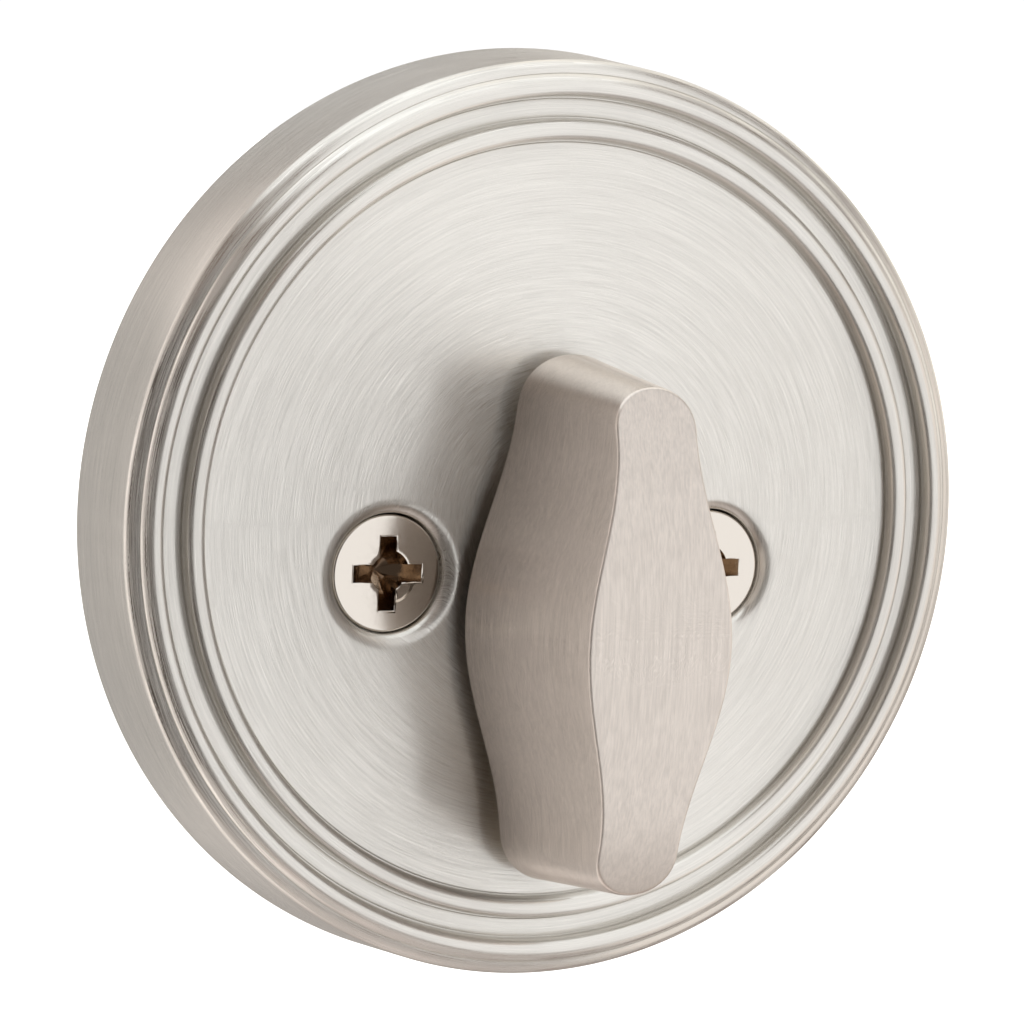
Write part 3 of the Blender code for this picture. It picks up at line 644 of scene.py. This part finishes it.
HUB_FLAT = 3.9 * MM  # from the axis to the hub's two flats, which drive the cam
PIN_BORE = 0.9 * MM  # radius of the holes that the blade's pin goes through
GRIP_BACK = {"waist": 7.55 * MM, "end": 4.15 * MM, "wave": 16.3 * MM, "half": 18.7 * MM, "round": 4.0 * MM}
GRIP_FRONT = {"waist": 5.5 * MM, "end": 3.1 * MM, "wave": 14.4 * MM, "half": 17.6 * MM, "round": 3.0 * MM}


def grip_loop(share, rows=180):
    """Outline of the grip between its back (0) and front (1), anticlockwise from its bottom tip.

    The half width falls from waist to end as half a cosine wave, and each end closes as a superellipse.
    """
    size = {key: back + (GRIP_FRONT[key] - back) * share for key, back in GRIP_BACK.items()}
    z = size["half"] * np.sin(math.pi * (np.arange(rows + 1) / rows - 0.5))
    swell = (1 + np.cos(math.pi * np.minimum(np.abs(z) / size["wave"], 1.0))) / 2
    width = size["end"] + (size["waist"] - size["end"]) * swell
    into_end = np.clip((np.abs(z) - size["half"] + size["round"]) / size["round"], 0.0, 1.0)
    width = width * np.sqrt(np.maximum(0.0, 1 - into_end**2.3))
    right = np.stack([width, z], axis=-1)
    left = np.stack([-width, z], axis=-1)[-2:0:-1]
    return np.concatenate([right, left])


class TRIM_OT_thumbturn(bpy.types.Operator):
    """Make the cast thumbturn: wavy grip with a crowned front, round neck and grooved hub"""

    bl_idname = "thumbturn_trim.thumbturn"
    bl_label = "Thumbturn"

    def execute(self, context):
        sizes = settings("grip")
        front = top_of("thumbturn")
        back = 9.8 * MM  # the grip's flat underside
        rows = 180
        edge = sizes.edge

        def layer(share, inset, lift):
            """One loop of the grip: its outline moved in, at its share of the crowned height plus a lift."""
            loop = grip_loop(share, rows)
            loop = loop - outward(loop) * inset
            crown = front - loop[:, 1] ** 2 / (2 * sizes.crown)
            height = back + (crown - back) * share + lift
            return lifted(loop + (0.0, TURN_Z), height)

        bend = np.radians(np.linspace(0.0, 90.0, 8))
        rounded_back = [layer(0.0, edge * (1 - np.sin(a)), edge * (1 - np.cos(a))) for a in bend]
        shares = np.linspace(0.04, 0.96, 24)
        body = [layer(s, 0.0, 0.0) for s in shares]
        rounded_front = [layer(1.0, edge * (1 - np.cos(a)), -edge * (1 - np.sin(a))) for a in bend]
        grid = np.array(rounded_back + body + rounded_front)
        last = grid[-1]
        right = last[: rows + 1]
        left = np.concatenate([last[:1], last[:rows:-1], last[rows : rows + 1]])
        across = np.linspace(0.0, 1.0, 25)[:, None, None]
        cap = left * (1 - across) + right * across
        neck = width_of("turn_bushing") / 2 - 1.7 * MM
        hub = neck - 1.0 * MM
        neck_end = top_of("turn_bushing") + CLEARANCE
        cam_back = bottom_of("turn_cam")
        groove = hub - 0.8 * MM
        groove_back = bottom_of("retaining_ring") - CLEARANCE
        hub_end = bottom_of("thumbturn")
        socket = width_of("face_washer") / 2 - 4.0 * MM
        socket_floor = 3.0 * MM
        stem = join(
            (neck + 0.5 * MM, back), corner(neck, back, 0.3 * MM, 90, 180, 6), (neck, neck_end),
            (hub, neck_end), (hub, cam_back), (groove, cam_back), (groove, groove_back),
            (hub, groove_back), (hub, hub_end + 0.3 * MM), (hub - 0.3 * MM, hub_end), (socket, hub_end),
            (socket, socket_floor), (0.0, socket_floor),
        )
        patches, holes = [], []
        pierce(patches, stem, 0.0, TURN_Z, first=holes)
        points = patches[0]["points"]
        flat_rows = (stem[:, 1] < top_of("turn_cam") + CLEARANCE) & (stem[:, 0] > HUB_FLAT)
        points[flat_rows, :, 0] = np.clip(points[flat_rows, :, 0], -HUB_FLAT, HUB_FLAT)
        base = grid[0][:, [0, 2]]
        patches = [{"points": grid}, {"points": cap, "ends_meet": False}, sheet(back, base, holes), *patches]
        piece = add_piece("thumbturn", patches, "thumbturn_nickel", satin_nickel_grip(settings("finish")))
        cut_hole(piece, PIN_BORE, 6 * MM, middle_of("blade_pin"))
        return {"FINISHED"}


def cross_loop(reach, half_width, middle, cut):
    """Outline of a cross recess, anticlockwise: for each quarter an arm's corner, its side, and an arc of
    the middle cone between two arms. The first arc is cut times as far out, where the punch has worn."""
    quarters = []
    for index in range(4):
        radius = middle * (cut if index == 0 else 1.0)
        start = math.degrees(math.asin(min(0.99, half_width / radius)))
        bend = arc((0.0, 0.0), radius, start, 90 - start, 9)
        end = np.linspace((reach, -half_width), (reach, half_width), 6, endpoint=False)
        side = np.linspace((reach, half_width), bend[0], 4, endpoint=False)
        back = np.linspace(bend[-1], (half_width, reach), 5)[1:-1]
        angle = index * math.pi / 2
        turn = np.array([[np.cos(angle), np.sin(angle)], [-np.sin(angle), np.cos(angle)]])
        quarters.append(join(end, side, bend, back) @ turn)
    return np.concatenate(quarters)


def head_height(points, reach, top, crown):
    """Height of a screw head's slightly domed face: it falls by the crown with the square of the radius."""
    return top - crown * (points**2).sum(axis=-1) / reach**2


def thread_radius(along, angle, major, minor, pitch):
    """Radius of a screw thread: a triangle wave of the distance along less the turn, one wave to a pitch."""
    phase = np.mod(along / pitch - angle / FULL_TURN, 1.0)
    ridge = 1 - np.abs(2 * phase - 1)
    return minor + (major - minor) * np.clip(1.25 * ridge - 0.05, 0.0, 1.0)


DENT = 0.16 * MM  # depth of the dent in the left screw's head
WORN_CUT = 1.3  # how much wider the recess is between two arms, where its punch has worn


class TRIM_OT_screws(bpy.types.Operator):
    """Make the two flat-head machine screws, with a cross recess and a rolled thread"""

    bl_idname = "thumbturn_trim.screws"
    bl_label = "Screws"

    def execute(self, context):
        plate = bright_nickel("bright nickel plate", "D8D0C6", 0.12, 0.07 * MM, 0.0026 * MM)
        # The recess material is the same plate in a darker, browner colour: painted shade in the hollow of
        # the cross recess.
        recess = bright_nickel("bright nickel plate in the recess", "A5917C", 0.12, 0.25 * MM, 0.008 * MM)
        for side, sign in SIDES:
            node = "screw_" + side
            dent = DENT if side == "left" else 0.0
            add_piece(node, self.patches(sign * SCREW_X, dent), "screw_nickel", plate, recess, sharp=28)
        return {"FINISHED"}

    def patches(self, x, dent):
        """Head, recess, plain shank and threaded shank of one screw."""
        top, end = span_of("screw_right")
        head = width_of("screw_right") / 2
        major = 2.08 * MM
        minor = 1.62 * MM
        pitch = 25.4 / 32 * MM
        edge = 0.22 * MM
        cone_end = top - 0.25 * MM - (head - major) / HEAD_SLOPE
        crown = 0.17 * MM
        reach = head - edge
        rounded = arc((reach, top - crown - edge), edge, 90, -35, 9)
        sizes = (
            # depth, arm's reach, arm's half width, middle cone's radius
            (0.1, 2.62, 0.62, 1.27),
            (0.9, 2.15, 0.56, 1.08),
            (1.5, 1.80, 0.50, 0.94),
            (1.95, 1.25, 0.42, 0.76),
            (2.2, 0.55, 0.26, 0.40),
        )
        rows = []
        angle = None
        for outward_by, down in ((0.08, 0.0), (0.025, 0.025)):
            loop = cross_loop(*((size + outward_by) * MM for size in sizes[0][1:]), WORN_CUT)
            angle = np.unwrap(np.arctan2(loop[:, 1], loop[:, 0])) if angle is None else angle
            rows.append(lifted(loop + (x, SCREW_Z), head_height(loop, reach, top, crown) - down * MM))
        for depth, *size in sizes:
            loop = cross_loop(*(value * MM for value in size), WORN_CUT)
            rows.append(lifted(loop + (x, SCREW_Z), top - depth * MM))
        rows.append(np.broadcast_to((x, 2.45 * MM - top, SCREW_Z), rows[0].shape))
        # The recess rows take the second material, whose darker colour is painted shade.
        patches = [{"points": np.array(rows[:3])}, {"points": np.array(rows[2:]), "mark": 1}]
        patches.append(self.face(x, rows[0], reach, top, crown, dent))
        patches.append(turned(join(rounded, (major, cone_end)), x, SCREW_Z, angle))
        thread_start = cone_end - 9.0 * MM
        thread_end = end + 0.6 * MM
        rows_to_a_turn = 9
        turns = (thread_start - thread_end) / pitch
        height = np.linspace(thread_start, thread_end, int(turns * rows_to_a_turn))[:, None]
        fade = np.clip((thread_start - height) / (1.5 * pitch), 0.0, 1.0)
        radius = thread_radius(thread_start - height, angle, major, minor, pitch)
        radius = major + (radius - major) * fade
        y = -np.broadcast_to(height, radius.shape)
        shank = np.stack([x + radius * np.cos(angle), y, SCREW_Z + radius * np.sin(angle)], axis=-1)
        plain = turned(join((major, cone_end), (major, thread_start)), x, SCREW_Z, angle)
        shank[0] = plain["points"][-1]
        tip_ring = turned(join((minor - 0.3 * MM, end), (0.0, end)), x, SCREW_Z, angle)["points"]
        return [*patches, plain, {"points": np.concatenate([shank, tip_ring])}]

    def face(self, x, mouth, reach, top, crown, dent):
        """The head's face: rings that change from the recess's outline to a circle, with the dent that a
        slipped driver pressed between two arms."""
        loop = mouth[:, [0, 2]] - (x, SCREW_Z)
        radius = np.linalg.norm(loop, axis=1)
        ray = loop / radius[:, None]
        collar = np.maximum(radius + 0.08 * MM, 2.2 * MM)
        pressed = np.clip(-4 * ray[:, 0] * ray[:, 1] * (ray[:, 0] > 0), 0.0, 1.0) * dent
        rows = []
        for share in np.linspace(0.0, 1.0, 4):
            rows.append((radius + (collar - radius) * share, pressed * (0.3 + 0.7 * share) * (share > 0)))
        for share in np.linspace(0.02, 1.0, 7):
            rows.append((collar + (reach - collar) * share, 0.0))
        points = []
        for size, down in rows:
            loop = ray * size[:, None]
            points.append(lifted(loop + (x, SCREW_Z), head_height(loop, reach, top, crown) - down))
        return {"points": np.array(points)}


class TRIM_OT_support_plate(bpy.types.Operator):
    """Make the cast support plate with its rim, bore, screw holes, stop lugs and post seats"""

    bl_idname = "thumbturn_trim.support_plate"
    bl_label = "Support Plate"

    def execute(self, context):
        front = top_of("support_plate")
        rim_end = 0.3 * MM
        back = bottom_of("thrust_washer") + 0.9 * MM
        outer = high("support_plate").x
        inner = outer - 2.4 * MM
        edge = 0.25 * MM
        guard = 0.1 * MM
        steps = 192
        profile = join(
            (outer - edge - guard, front), corner(outer, front, edge, 90, 0),
            corner(outer, rim_end, edge, 0, -90), corner(inner, rim_end, edge, -90, -180),
            corner(inner, back, 0.5 * MM, 0, 90, 6), (inner - 0.5 * MM - guard, back),
        )
        patches = [turned(profile, steps=steps)]
        bores = [(0.0, TURN_Z, width_of("turn_bushing") / 2 - 1.1 * MM)]
        screw_bore = 2.58 * MM
        bores += [(sign * SCREW_X, SCREW_Z, screw_bore) for _, sign in SIDES]
        front_holes, back_holes = [], []
        for x, z, radius in bores:
            collar = join(
                (radius + edge + guard, front), corner(radius, front, edge, 90, 180),
                corner(radius, back, edge, 180, 270), (radius + edge + guard, back),
            )
            pierce(patches, collar, x, z, 96, front_holes, back_holes)
        lug_end = bottom_of("turn_cam")
        lug_radius = 1.2 * MM
        reach = high("turn_cam").z - TURN_Z - 1.1 * MM
        lean = math.radians(90) + math.asin(3.2 * MM / reach)
        for side, sign in SIDES:
            x, z = sign * reach * math.sin(lean), TURN_Z + reach * math.cos(lean)
            lug = join(
                (lug_radius + 0.4 * MM + guard, back), corner(lug_radius, back, 0.4 * MM, 90, 180),
                corner(lug_radius, lug_end, 0.2 * MM, 0, -90), (0.0, lug_end),
            )
            pierce(patches, lug, x, z, 48, back_holes)
            node = "spring_post_" + side
            middle = middle_of(node)
            seat_radius = width_of(node) / 2 + CLEARANCE
            seat_floor = top_of(node) + CLEARANCE
            chamfer = 0.15 * MM
            seat = join(
                (seat_radius + 2 * chamfer, back), (seat_radius + chamfer, back),
                (seat_radius, back + chamfer), (seat_radius, seat_floor), (0.0, seat_floor),
            )
            pierce(patches, seat, middle.x, middle.z, 48, back_holes)
        patches.append(sheet(front, ring_loop(profile[0][0], steps=steps), front_holes))
        patches.append(sheet(back, ring_loop(profile[-1][0], steps=steps), back_holes))
        zinc = grained("die-cast zinc", "A9ABAD", "8C8F92", 1.0, 0.48, 1.1 * MM, 0.35)
        add_piece("support_plate", patches, "cast_zinc", zinc)
        return {"FINISHED"}


def rounded_square(flat, reach, count=16):
    """Square outline with its corners cut by a circle, anticlockwise."""
    cut = math.degrees(math.acos(min(0.999, flat / reach)))
    return join(*(arc((0.0, 0.0), reach, base + cut, base + 90 - cut, count) for base in (0, 90, 180, 270)))


class TRIM_OT_turn_stack(bpy.types.Operator):
    """Make the pieces on the hub: bushing, washers, cam, retaining ring, blade and pin"""

    bl_idname = "thumbturn_trim.turn_stack"
    bl_label = "Turn Stack"

    def execute(self, context):
        zinc_plate = grained("zinc-plated steel", "C4C6C8", "A9ACB0", 1.0, 0.33, 0.9 * MM, 0.15)
        spring_steel = grained("oiled spring steel", "6F7076", "4E4F56", 1.0, 0.3, 0.6 * MM, 0.15)
        nylon = grained("moulded black nylon", "1B1A19", "121211", 0.0, 0.45, 0.5 * MM, 0.12)
        bronze = grained("sintered bronze", "A87B4B", "6E4D2C", 1.0, 0.45, 0.12 * MM, 0.5)
        bore = width_of("turn_bushing") / 2 - 2.4 * MM
        washer_bore = width_of("face_washer") / 2 - 0.9 * MM
        self.make_washer("face_washer", washer_bore, 0.0, TURN_Z, "nylon", nylon)
        self.make_bushing(bore, bronze)
        self.make_washer("thrust_washer", bore, 0.0, TURN_Z, "zinc_plated_steel", zinc_plate)
        self.make_wave_washer(bore, spring_steel)
        self.make_cam(bore, zinc_plate)
        self.make_retaining_ring(spring_steel)
        self.make_blade(zinc_plate)
        self.make_pin(spring_steel)
        for side, sign in SIDES:
            node = "screw_retainer_" + side
            bore = width_of(node) / 2 - 1.8 * MM
            self.make_washer(node, bore, sign * SCREW_X, SCREW_Z, "nylon", nylon)
        return {"FINISHED"}

    def make_washer(self, node, bore, x, z, slot, finish):
        """Flat washer: its rounded section turned about its axis."""
        section = ring_section(bore, width_of(node) / 2, *span_of(node))
        add_piece(node, [turned(section, x, z)], slot, finish)

    def make_bushing(self, bore, finish):
        """Flanged sleeve."""
        flange = width_of("turn_bushing") / 2
        sleeve = bore + 1.0 * MM
        top, bottom = span_of("turn_bushing")
        section = ring_section(bore, flange, top, top - 1.0 * MM)
        section = join(
            section[:9], (sleeve, top - 1.0 * MM), corner(sleeve, bottom, 0.15 * MM, 0, -90),
            corner(bore, bottom, 0.15 * MM, -90, -180), section[15:],
        )
        add_piece("turn_bushing", [turned(section, z=TURN_Z)], "bronze", finish)

    def make_wave_washer(self, bore, finish):
        """Washer whose height follows the cosine of three times the angle."""
        outer = width_of("wave_washer") / 2
        top, bottom = span_of("wave_washer")
        amplitude = 0.3 * MM
        section = ring_section(bore, outer, top - amplitude, bottom + amplitude, 0.08 * MM)
        angle = turn_angles(192)
        patch = turned(section, 0.0, TURN_Z, angle)
        patch["points"][:, :, 1] -= amplitude * np.cos(3 * angle)
        add_piece("wave_washer", [patch], "spring_steel", finish)

    def make_cam(self, bore, finish):
        """Square cam with a stop tab and a bore with two flats."""
        flat = width_of("turn_cam") / 2
        reach = high("turn_cam").z - TURN_Z
        half_tab = 1.7 * MM
        square = rounded_square(flat, flat + 1.5 * MM)
        tab = join(
            (half_tab, flat), corner(half_tab, reach, 0.3 * MM, 0, 90, 4),
            corner(-half_tab, reach, 0.3 * MM, 90, 180, 4), (-half_tab, flat),
        )
        split = len(square) // 4
        outline = join(square[:split], tab, square[split:]) + np.array([0.0, TURN_Z])
        hole = ring_loop(bore)
        hole_flat = HUB_FLAT + CLEARANCE
        hole[:, 0] = np.clip(hole[:, 0], -hole_flat, hole_flat)
        hole += np.array([0.0, TURN_Z])
        add_plate("turn_cam", "zinc_plated_steel", finish, outline, [hole], 0.1 * MM, 0.03 * MM)

    def make_retaining_ring(self, finish):
        """Open ring with round ends, its mouth up."""
        outer = width_of("retaining_ring") / 2
        inner = 4.0 * MM
        middle = (inner + outer) / 2
        half = (outer - inner) / 2
        start, end = 130.0, 410.0
        ends = [arc((0.0, 0.0), middle, angle, angle, 1)[0] for angle in (end, start)]
        outline = join(
            arc((0.0, 0.0), outer, start, end, 72), arc(ends[0], half, end + 20, end + 160, 8),
            arc((0.0, 0.0), inner, end, start, 72), arc(ends[1], half, start - 160, start - 20, 8),
        )
        outline = outline + np.array([0.0, TURN_Z])
        add_plate("retaining_ring", "spring_steel", finish, outline, edge=0.1 * MM)

    def make_blade(self, finish):
        """Bar of D section with rounded ends."""
        radius = (high("torque_blade").z - low("torque_blade").z) / 2
        flat = high("torque_blade").x
        start = math.degrees(math.acos(flat / radius))
        outline = arc((0.0, TURN_Z), radius, start, 360 - start, 48)
        straight = np.linspace(outline[-1], outline[0], 12)[1:-1]
        outline = join(outline, straight)
        piece = add_plate("torque_blade", "zinc_plated_steel", finish, outline)
        cut_hole(piece, PIN_BORE, 4 * MM, middle_of("blade_pin"))

    def make_pin(self, finish):
        """Round pin along X with chamfered ends: a turned grid with its axes exchanged."""
        pin = middle_of("blade_pin")
        half = width_of("blade_pin") / 2
        radius = (high("blade_pin").z - low("blade_pin").z) / 2
        chamfer = 0.2 * MM
        profile = join(
            (0.0, half), (radius - chamfer, half), (radius, half - chamfer),
            (radius, chamfer - half), (radius - chamfer, -half), (0.0, -half),
        )
        patch = turned(profile, steps=40)
        across, along, up = np.moveaxis(patch["points"], -1, 0)
        patch["points"] = np.stack([along + pin.x, across + pin.y, up + pin.z], axis=-1)
        add_piece("blade_pin", [patch], "spring_steel", finish)


def ribbon_outline(path, half):
    """Outline of a strip of even width along an open path, with a round end at each side."""
    along = np.gradient(path, axis=0)
    along /= np.linalg.norm(along, axis=1, keepdims=True)
    normal = np.stack([along[:, 1], -along[:, 0]], axis=-1)
    turn = [math.degrees(math.atan2(*normal[i][::-1])) for i in (-1, 0)]
    tail = arc(path[-1], half, turn[0], turn[0] + 180, 8)[1:-1]
    nose = arc(path[0], half, turn[1] + 180, turn[1] + 360, 8)[1:-1]
    return join(path + normal * half, tail, (path - normal * half)[::-1], nose)


class TRIM_OT_detent(bpy.types.Operator):
    """Make the detent leaf and the two posts that hold it"""

    bl_idname = "thumbturn_trim.detent"
    bl_label = "Detent"

    def execute(self, context):
        spring_steel = grained("blued spring steel", "5C626E", "434853", 1.0, 0.28, 0.6 * MM, 0.12)
        steel = grained("zinc-plated pins", "C4C6C8", "A9ACB0", 1.0, 0.33, 0.9 * MM, 0.15)
        post = middle_of("spring_post_right")
        radius = width_of("spring_post_right") / 2
        hook = radius + 0.5 * MM
        left = arc((-post.x, post.z), hook, 270, 90, 24)
        right = arc((post.x, post.z), hook, 90, -90, 24)
        straight = np.linspace(left[-1], right[0], 30)[1:-1]
        path = join(left, straight, right)
        outline = ribbon_outline(path, 0.2 * MM)[::-1]
        add_plate("detent_spring", "spring_steel", spring_steel, outline, (), 0.06 * MM, 0.03 * MM)
        for side, sign in SIDES:
            node = "spring_post_" + side
            top, bottom = span_of(node)
            chamfer = 0.25 * MM
            profile = join(
                (0.0, top), (radius, top), (radius, bottom + chamfer), (radius - chamfer, bottom),
                (0.0, bottom),
            )
            add_piece(node, [turned(profile, sign * post.x, post.z, 48)], "zinc_plated_steel", steel)
        return {"FINISHED"}


class TRIM_OT_anchor(bpy.types.Operator):
    """Make the stamped anchor plate and its two press nuts"""

    bl_idname = "thumbturn_trim.anchor"
    bl_label = "Anchor"

    def execute(self, context):
        steel = grained("zinc-plated stamping", "C2C4C6", "A5A8AC", 1.0, 0.36, 1.4 * MM, 0.2)
        nut_steel = grained("zinc-plated turned steel", "CACCCD", "B3B6B9", 1.0, 0.28, 0.5 * MM, 0.1)
        half_length = width_of("anchor_plate") / 2
        half_height = (high("anchor_plate").z - low("anchor_plate").z) / 2
        straight = half_length - half_height
        right = arc((straight, SCREW_Z), half_height, -90, 90, 48)
        left = arc((-straight, SCREW_Z), half_height, 90, 270, 48)
        bridge = np.linspace(right[-1], left[0], 24)[1:-1]
        back_bridge = np.linspace(left[-1], right[0], 24)[1:-1]
        outline = join(right, bridge, left, back_bridge)
        holes = [ring_loop(3.3 * MM, sign * SCREW_X, SCREW_Z) for _, sign in SIDES]
        holes.append(ring_loop(4.0 * MM, 0.0, SCREW_Z))
        add_plate("anchor_plate", "zinc_plated_steel", steel, outline, holes, 0.25 * MM)
        for side, sign in SIDES:
            node = "anchor_nut_" + side
            body = width_of(node) / 2
            bore = 2.38 * MM
            pilot = 3.0 * MM
            top, bottom = span_of(node)
            seat = bottom_of("anchor_plate") - CLEARANCE
            chamfer = 0.35 * MM
            profile = join(
                (bore + 0.3 * MM, top), (pilot, top), (pilot, seat), (body - 0.1 * MM, seat),
                (body, seat - 0.1 * MM), (body, bottom + chamfer), (body - chamfer, bottom),
                (bore + chamfer, bottom), (bore, bottom + chamfer), (bore, top - 0.3 * MM),
                (bore + 0.3 * MM, top),
            )
            patches = [turned(profile, sign * SCREW_X, SCREW_Z)]
            add_piece(node, patches, "zinc_plated_steel", nut_steel, sharp=30)
        return {"FINISHED"}


# Stage


STUDIO = (
    # around, half width full and fading out, up, half height full and fading out, colour
    (0, 180, 181, 90, 30, 42, (1.46, 1.50, 1.53)),
    (0, 180, 181, -90, 10, 45, (0.80, 0.72, 0.69)),
    (-124, 18, 52, -16, 26, 78, (2.15, 2.02, 1.96)),
    (-34, 40, 50, -11, 31, 41, (0.11, 0.095, 0.085)),
    (27, 29, 36, 7, 38, 58, (1.23, 1.24, 1.26)),
    (70, 13, 22, -21, 22, 44, (1.20, 1.10, 1.03)),
    (121, 14, 32, 41, 37, 64, (1.35, 1.32, 1.25)),
    (-160, 9, 68, -12, 26, 50, (0.48, 0.47, 0.46)),
)


def soft_edge(value, outside, inside):
    """Inputs that bring a value to 0 where the light ends and to 1 where it is full."""
    return {"Value": value, "From Min": outside, "From Max": inside}


def studio_sky():
    """Seamless white to the camera. What the metal mirrors is a dim brown room with soft boxes, white boards
    and dark flags, each a soft-edged rectangle of directions: an angle round the lock and an angle up."""
    world = bpy.data.worlds.new("studio")
    world.use_nodes = True
    bpy.context.scene.world = world
    tree = world.node_tree
    place = add(tree, "TexCoord", output="Generated")
    level = add(tree, "VectorMath", {0: place, 1: (1.0, 1.0, 0.0)}, operation="MULTIPLY")
    level = add(tree, "VectorMath", {0: level}, operation="NORMALIZE")
    rise = add(tree, "Math", {0: add(tree, "SeparateXYZ", {0: place}, "Z")}, operation="ARCSINE")
    colour = (0.31, 0.265, 0.24, 1.0)
    for around, wide, wide_end, up, tall, tall_end, light in STUDIO:
        across = 1.0
        if wide < 180:
            toward = (math.sin(math.radians(around)), -math.cos(math.radians(around)), 0.0)
            near = add(tree, "VectorMath", {0: level, 1: toward}, "Value", operation="DOT_PRODUCT")
            ends = (math.cos(math.radians(wide_end)), math.cos(math.radians(wide)))
            across = add(tree, "MapRange", soft_edge(near, *ends), interpolation_type="SMOOTHSTEP")
        above = add(tree, "Math", {0: rise, 1: math.radians(up)}, operation="SUBTRACT")
        above = add(tree, "Math", {0: above}, operation="ABSOLUTE")
        ends = (math.radians(tall_end), math.radians(tall))
        along = add(tree, "MapRange", soft_edge(above, *ends), interpolation_type="SMOOTHSTEP")
        share = add(tree, "Math", {0: across, 1: along}, operation="MULTIPLY")
        colour = add(tree, "Mix", {0: share, 6: colour, 7: (*light, 1.0)}, 2, data_type="RGBA")
    seen = add(tree, "LightPath", output="Is Camera Ray")
    shown = add(tree, "Mix", {0: seen, 6: colour, 7: (1.05, 1.05, 1.05, 1.0)}, 2, data_type="RGBA")
    tree.links.new(shown, tree.nodes["Background"].inputs["Color"])


def floor_finish():
    """Matt white paper, lit so that it meets the white behind it without an edge."""
    material, tree, shader = new_material("matt white paper", "D8D6D2", 0.0, 0.9)
    seen = add(tree, "LightPath", output="Is Camera Ray")
    feed(shader, {"Emission Color": (1.0, 1.0, 1.0, 1.0), "Emission Strength": seen})
    return material


class TRIM_OT_stage(bpy.types.Operator):
    """Make the floor, the studio that the metal mirrors, and the camera"""

    bl_idname = "thumbturn_trim.stage"
    bl_label = "Stage"

    def execute(self, context):
        scene = context.scene
        scene.view_settings.view_transform = "Standard"
        half = 3.0
        height = low("rose").z - 0.09
        mesh = bpy.data.meshes.new("floor")
        corners = [(x * half, y * half, height) for x, y in ((-1, -1), (1, -1), (1, 1), (-1, 1))]
        mesh.from_pydata(corners, [], [(0, 1, 2, 3)])
        mesh.materials.append(floor_finish())
        floor = bpy.data.objects.new("floor", mesh)
        scene.collection.objects.link(floor)
        floor.visible_diffuse = floor.visible_glossy = floor.visible_shadow = False
        studio_sky()
        self.add_camera(settings("stage"))
        return {"FINISHED"}

    def add_camera(self, stage):
        """Camera at its azimuth and elevation round the aim, leaning by the roll."""
        flat = math.cos(stage.elevation)
        around = (math.sin(stage.azimuth) * flat, -math.cos(stage.azimuth) * flat)
        back = Vector((*around, math.sin(stage.elevation)))
        right = (-back).cross(Vector((0.0, 0.0, 1.0))).normalized()
        up = right.cross(-back)
        side = math.cos(stage.roll) * right + math.sin(stage.roll) * up
        crown = math.cos(stage.roll) * up - math.sin(stage.roll) * right
        data = bpy.data.cameras.new("camera")
        data.sensor_width = 36.0
        data.lens = stage.lens
        data.clip_start = 0.01
        data.clip_end = 20.0
        camera = bpy.data.objects.new("camera", data)
        turn = Matrix((side, crown, back)).transposed().to_4x4()
        camera.matrix_world = Matrix.Translation(Vector(stage.aim) + back * stage.distance) @ turn
        bpy.context.scene.collection.objects.link(camera)
        bpy.context.scene.camera = camera


class TRIM_PT_panel(bpy.types.Panel):
    """Sizes, finishes and a button for each piece"""

    bl_label = "Thumbturn Trim"
    bl_idname = "TRIM_PT_panel"
    bl_space_type = "VIEW_3D"
    bl_region_type = "UI"
    bl_category = "Thumbturn Trim"

    def draw(self, context):
        for name in GROUPS:
            box = self.layout.box()
            group = settings(name)
            for key in group.__annotations__:
                box.prop(group, key)
        for operator in OPERATORS:
            self.layout.operator(operator.bl_idname)


GROUPS = {"rose": RoseSettings, "grip": GripSettings, "finish": FinishSettings, "stage": StageSettings}
OPERATORS = (
    TRIM_OT_rose,
    TRIM_OT_thumbturn,
    TRIM_OT_screws,
    TRIM_OT_support_plate,
    TRIM_OT_turn_stack,
    TRIM_OT_detent,
    TRIM_OT_anchor,
    TRIM_OT_stage,
)


def register():
    """Registers the classes and puts their settings on the scene."""
    for name, group in GROUPS.items():
        bpy.utils.register_class(group)
        setattr(bpy.types.Scene, "thumbturn_trim_" + name, PointerProperty(type=group))
    for operator in OPERATORS:
        bpy.utils.register_class(operator)
    bpy.utils.register_class(TRIM_PT_panel)


def unregister():
    """Takes the classes and settings away."""
    bpy.utils.unregister_class(TRIM_PT_panel)
    for operator in reversed(OPERATORS):
        bpy.utils.unregister_class(operator)
    for name, group in reversed(GROUPS.items()):
        delattr(bpy.types.Scene, "thumbturn_trim_" + name)
        bpy.utils.unregister_class(group)


def main():
    """Registers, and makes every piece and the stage."""
    register()
    for operator in OPERATORS:
        group, name = operator.bl_idname.split(".")
        getattr(getattr(bpy.ops, group), name)()


if __name__ == "__main__":
    main()
